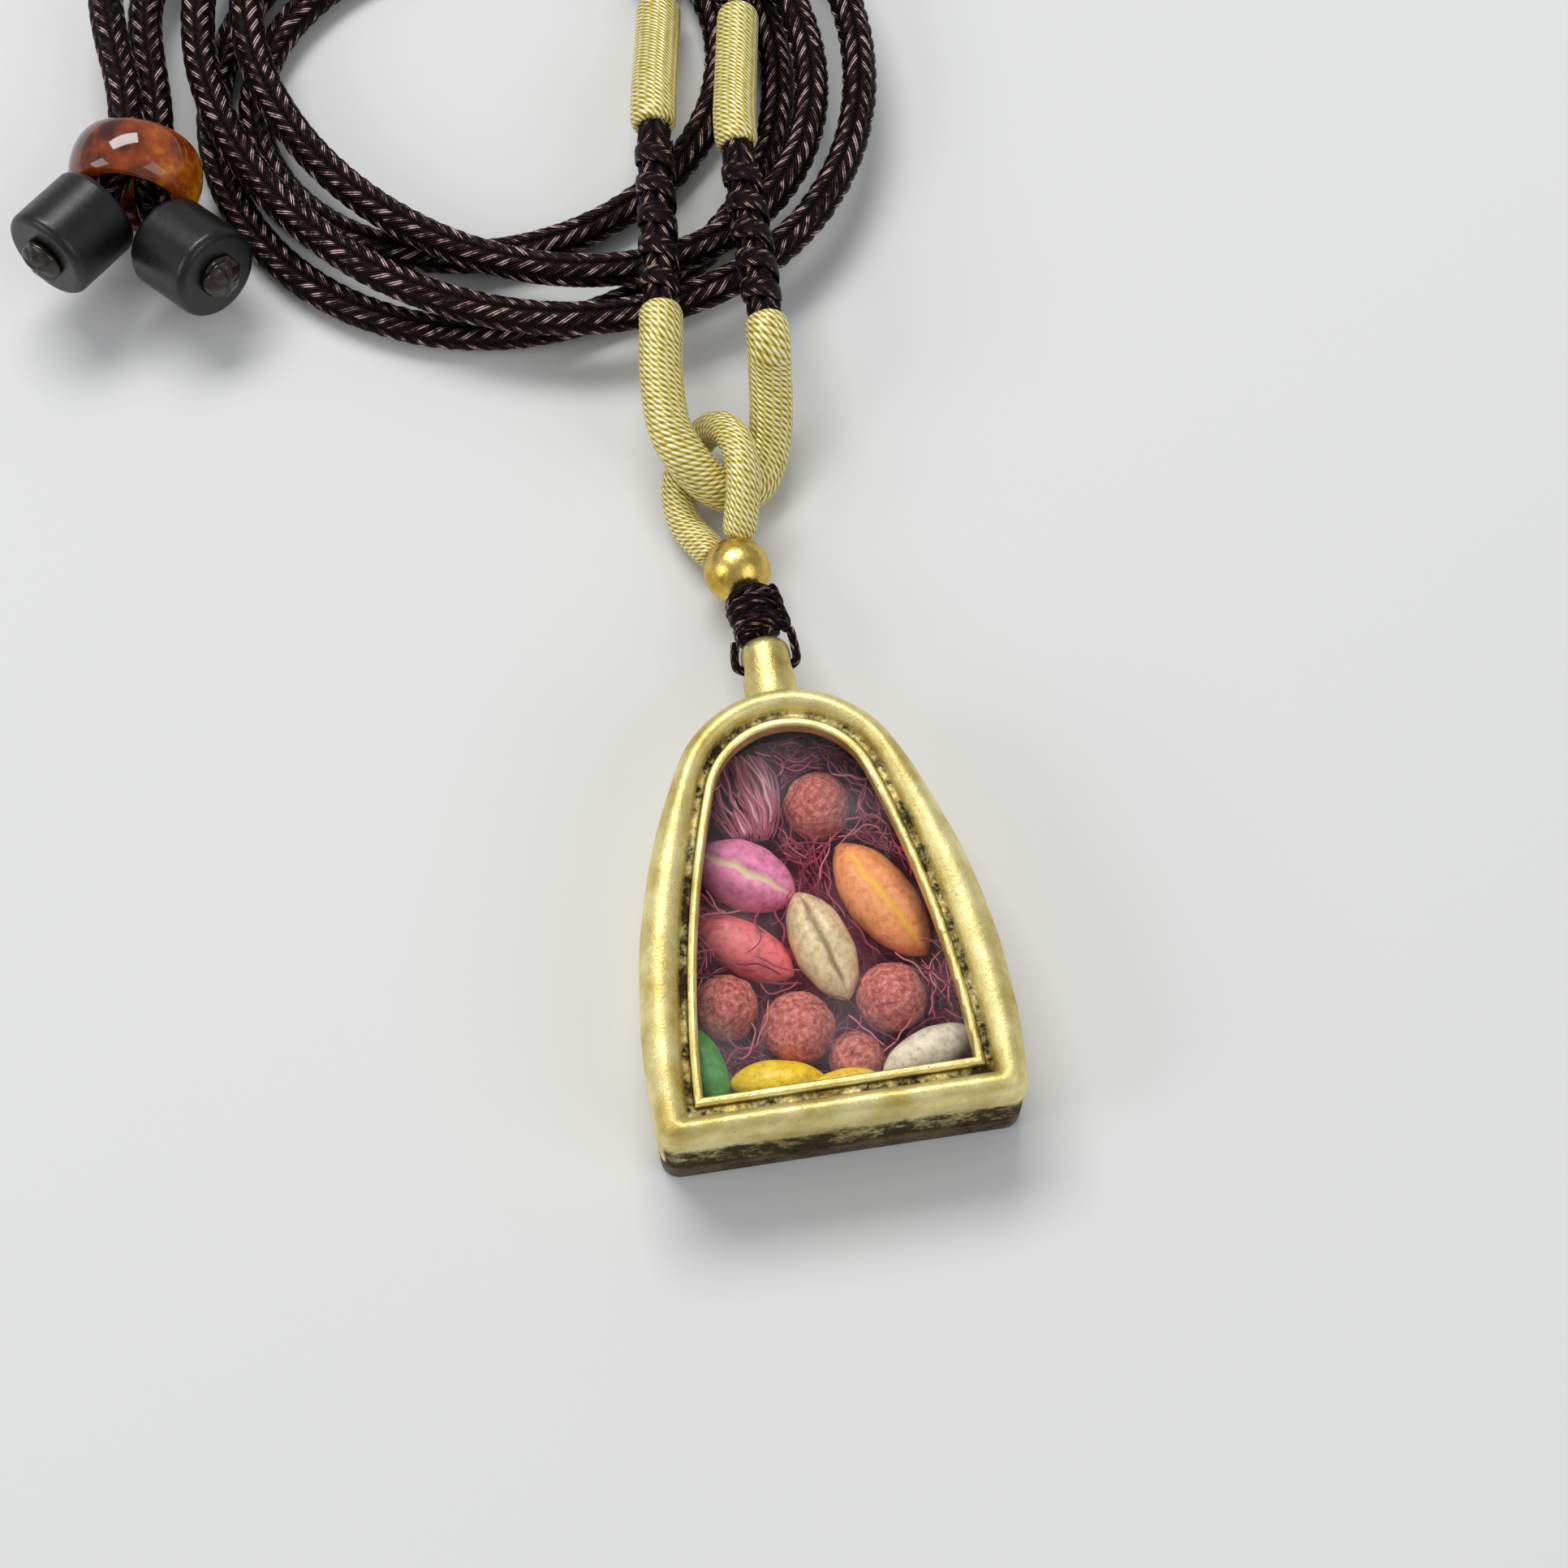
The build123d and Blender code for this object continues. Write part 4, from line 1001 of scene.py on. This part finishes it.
def grain_husk(middle, heading, length, girth, crease_turn, shift):
    """Patch of a pointed oval with a crease between two lips; shift picks its unevenness."""
    way = np.array((math.cos(math.radians(heading)), math.sin(math.radians(heading)), 0))
    across = np.array((-way[1], way[0], 0))
    crease_angle = math.pi / 2 + math.radians(crease_turn)
    rings = []
    grooves = []
    for step in range(GRAIN_RINGS + 1):
        share = 0.5 - 0.5 * math.cos(math.pi * (GRAIN_POINT + (1 - 2 * GRAIN_POINT) * step / GRAIN_RINGS))
        back = 1 - share
        place = length * (-0.5 * back**3 - 0.9 * share * back**2 + 0.9 * share**2 * back + 0.5 * share**3)
        reach = girth / 2 * (4 * share * back) ** GRAIN_FULLNESS
        wander = CREASE_WANDER * noise.noise((place * 0.9, shift, 0))
        ring = []
        for spot in range(GRAIN_SIDES):
            angle = TAU * spot / GRAIN_SIDES
            off = (angle - crease_angle + math.pi) % TAU - math.pi - wander
            groove = math.exp(-(off / CREASE_WIDTH) ** 2) * min(1, 6 * share * back)
            lips = math.exp(-((abs(off) - LIP_OFFSET) / LIP_WIDTH) ** 2)
            rough = noise.noise((place * 0.8, 1.2 * math.cos(angle) + shift, 1.2 * math.sin(angle)))
            swell = GRAIN_SHARE - CREASE_DEPTH * groove + LIP_HEIGHT * lips + GRAIN_ROUGH * rough
            swing = across * math.cos(angle) + UP * math.sin(angle)
            ring.append(middle + way * place + swing * reach * swell)
            grooves.append(groove)
        rings.append(ring)
    grid = np.array(rings)
    return patch(grid, np.array(grooves).reshape(grid.shape[:2]))


for index, (name, facts) in enumerate(GRAINS.items()):
    x, y, lift, heading, length, girth, crease_turn, slot, *tones = facts
    husk = grain_husk(np.array((x, y, WOOL_TOP + lift)), heading, length, girth, crease_turn, index)
    make_piece(f"grain_{name}_husk", [husk], "case", [f"grain_{name}"], grain_finish(name, *tones))

# Bundle of dyed fibre, twisted a little and drawn in at its ends
BUNDLE_PLACE = np.array((-2.5, 8.6, PELLET_Z))
BUNDLE_FIBRES = 150
BUNDLE_HALF = 2.7
BUNDLE_TAPER = 3.1
BUNDLE_REACH = 1.75
BUNDLE_WIDEN = 1.3
BUNDLE_TWIST = 0.5
BUNDLE_SHIFT = -0.2
FIBRE_SWAY = (-0.25, 0.25)
FIBRE_DRAW = (0.85, 1.0)
FIBRE_RADIUS = (0.07, 0.13)
FIBRE_POINTS = 6
fibre_finish = Finish("dyed_fibre", Roughness=0.75, Sheen_Weight=0.4, Sheen_Tint="f0b8cc")
fibre_tones = (0.0, "ac506c"), (0.5, "f294ac"), (1.0, "ffd2da")
fibre_finish.set("Base Color", fibre_finish.ramp(fibre_finish.value("relief"), *fibre_tones))


def bundle_fibre():
    """One fibre of the bundle, from its lower end to its upper end."""
    spin = random.uniform(0, TAU)
    reach = BUNDLE_REACH * math.sqrt(random.random())
    points = []
    for along in np.linspace(-BUNDLE_HALF, BUNDLE_HALF, FIBRE_POINTS):
        angle = spin + BUNDLE_TWIST * along / BUNDLE_HALF + random.uniform(*FIBRE_SWAY)
        near = reach * math.sqrt(max(0.1, 1 - (along / BUNDLE_TAPER) ** 4)) * random.uniform(*FIBRE_DRAW)
        x = BUNDLE_WIDEN * near * math.cos(angle) + BUNDLE_SHIFT
        points.append(BUNDLE_PLACE + np.array((x, along, near * math.sin(angle))))
    return strand(points, random.uniform(*FIBRE_RADIUS), 5, random.random())


fibres = [bundle_fibre() for fibre in range(BUNDLE_FIBRES)]
make_piece("relic_bundle_fibre", fibres, "case", ["relic_bundle"], fibre_finish)

# Wool: a felted sheet, as shares of its outline out along its underside and back over its top
SHEET_SHARES = np.linspace(0.04, 1, 20)
SHEET_INSET = 1.6
SHEET_FOOT_INSET = 1.9
SHEET_UNDER = 1.53
SHEET_OVER = 1.62
FELT_SIZE = 1.1
FELT_DEPTH = 0.05
FELT_TONE = 0.4
FELT_MOTTLE = 0.35
FELT_PACE = 1.3
wool_finish = Finish("crimson_wool", Roughness=0.9, Sheen_Weight=0.3, Sheen_Tint="c07a90")
wool_tones = (0.0, "6a1a36"), (0.5, "bc4266"), (1.0, "ea90a4")
wool_finish.set("Base Color", wool_finish.ramp(wool_finish.value("relief"), *wool_tones))
sheet_line = arch_ring(BOX_LINE, SHEET_INSET, SHEET_FOOT_INSET)
sheet_rings = [at_height(sheet_line * share, SHEET_UNDER) for share in SHEET_SHARES]
sheet_rings += [at_height(sheet_line * share, SHEET_OVER) for share in SHEET_SHARES[::-1]]
sheet = uneven(np.array(sheet_rings), FELT_SIZE, FELT_DEPTH)
mottle = np.array([noise.noise(Vector(point) * FELT_PACE) for point in sheet.reshape(-1, 3)])
felt = FELT_TONE + FELT_MOTTLE * mottle
wool_parts = [patch(sheet, felt.reshape(sheet.shape[:2]))]

# Tufts of wool between the contents, kept inside a rounded outline a little within the box
TUFTS = 900
TUFT_START = ((-9.5, 9.5), (-12, 12), (2.2, 5.4))
TUFT_BEND = (-0.9, 0.9)
TUFT_RISE = (-0.35, 0.35)
TUFT_RADIUS = (0.04, 0.08)
TUFT_STEP = 0.62
TUFT_LOW = 1.8
TUFT_HIGH = 5.9
NOSE_Y = 6.5
NOSE_REACH = 6.0
TUFT_FOOT = -12.3
SIDE_RADIUS = 40.6
SIDE_CENTRE = (-31.1, -9.2)
CONTENT_GAP = 0.05
GRAIN_ROOM = 1.15
BUNDLE_ROOM = (2.0, 3.1, 2.0)


def inside_contents(point):
    """Whether a point lies in a pellet, a grain or the bundle."""
    for x, y, radius in PELLETS.values():
        if np.linalg.norm(point - (x, y, PELLET_Z)) < radius + CONTENT_GAP:
            return True
    for x, y, lift, heading, length, girth, *_ in GRAINS.values():
        off = point - (x, y, WOOL_TOP + lift)
        turn = math.radians(heading)
        along = off[0] * math.cos(turn) + off[1] * math.sin(turn)
        across = -off[0] * math.sin(turn) + off[1] * math.cos(turn)
        if (along / (length / 2)) ** 2 + (across**2 + off[2] ** 2) / (girth / 2) ** 2 < GRAIN_ROOM:
            return True
    return np.linalg.norm((point - BUNDLE_PLACE) / BUNDLE_ROOM) < 1


def inside_box(point):
    x, y = abs(point[0]), point[1]
    if y > NOSE_Y:
        return math.hypot(x, y - NOSE_Y) < NOSE_REACH
    return y > TUFT_FOOT and x < math.sqrt(SIDE_RADIUS**2 - (y - SIDE_CENTRE[1]) ** 2) + SIDE_CENTRE[0]


def tuft_points():
    """Points of a wandering tuft."""
    point = np.array([random.uniform(*span) for span in TUFT_START])
    spin = random.uniform(0, TAU)
    points = []
    for step in range(FIBRE_POINTS):
        points.append(point)
        spin += random.uniform(*TUFT_BEND)
        way = np.array((math.cos(spin), math.sin(spin), random.uniform(*TUFT_RISE)))
        point = point + way * TUFT_STEP
        point[2] = min(TUFT_HIGH, max(TUFT_LOW, point[2]))
    return points


while len(wool_parts) <= TUFTS:
    points = tuft_points()
    if all(inside_box(spot) and not inside_contents(spot) for spot in points):
        wool_parts.append(strand(points, random.uniform(*TUFT_RADIUS), 4, random.random()))
make_piece("wool_tufts", wool_parts, "case", ["wool_backing"], wool_finish)

# Floor and light, in metres
FLOOR_HALF = 2
FLOOR_DROP = 2e-5
WORLD_TINT = (0.92, 0.94, 1.0, 1)
WORLD_STRENGTH = 0.4
floor_finish = Finish("pale_floor", Roughness=0.9, Specular_IOR_Level=0.2, Base_Color="dcdcda")
floor_mesh = bpy.data.meshes.new("floor")
corners = [(x * FLOOR_HALF, y * FLOOR_HALF, -FLOOR_DROP) for x, y in ((-1, -1), (1, -1), (1, 1), (-1, 1))]
floor_mesh.from_pydata(corners, [], [(0, 1, 2, 3)])
floor_mesh.materials.append(floor_finish.material)
floor = bpy.data.objects.new("floor", floor_mesh)
bpy.context.collection.objects.link(floor)


def soft_light(name, place, aim, size, power):
    lamp = bpy.data.lights.new(name, "AREA")
    lamp.shape = "RECTANGLE"
    lamp.size, lamp.size_y = size
    lamp.energy = power
    holder = bpy.data.objects.new(name, lamp)
    holder.location = place
    holder.rotation_mode = "QUATERNION"
    holder.rotation_quaternion = (Vector(aim) - Vector(place)).to_track_quat("-Z", "Y")
    bpy.context.collection.objects.link(holder)


soft_light("key", place=(-0.10, 0.42, 0.62), aim=(-0.01, 0.02, 0), size=(0.52, 0.24), power=3.6)
soft_light("fill", place=(0.45, -0.35, 0.5), aim=(-0.01, 0.03, 0), size=(0.45, 0.45), power=1.0)
soft_light("side", place=(-0.55, -0.05, 0.35), aim=(-0.01, 0.02, 0), size=(0.3, 0.3), power=0.8)
world = bpy.data.worlds.new("studio")
world.use_nodes = True
world.node_tree.nodes["Background"].inputs["Color"].default_value = WORLD_TINT
world.node_tree.nodes["Background"].inputs["Strength"].default_value = WORLD_STRENGTH
bpy.context.scene.world = world
bpy.context.scene.view_settings.view_transform = "Standard"
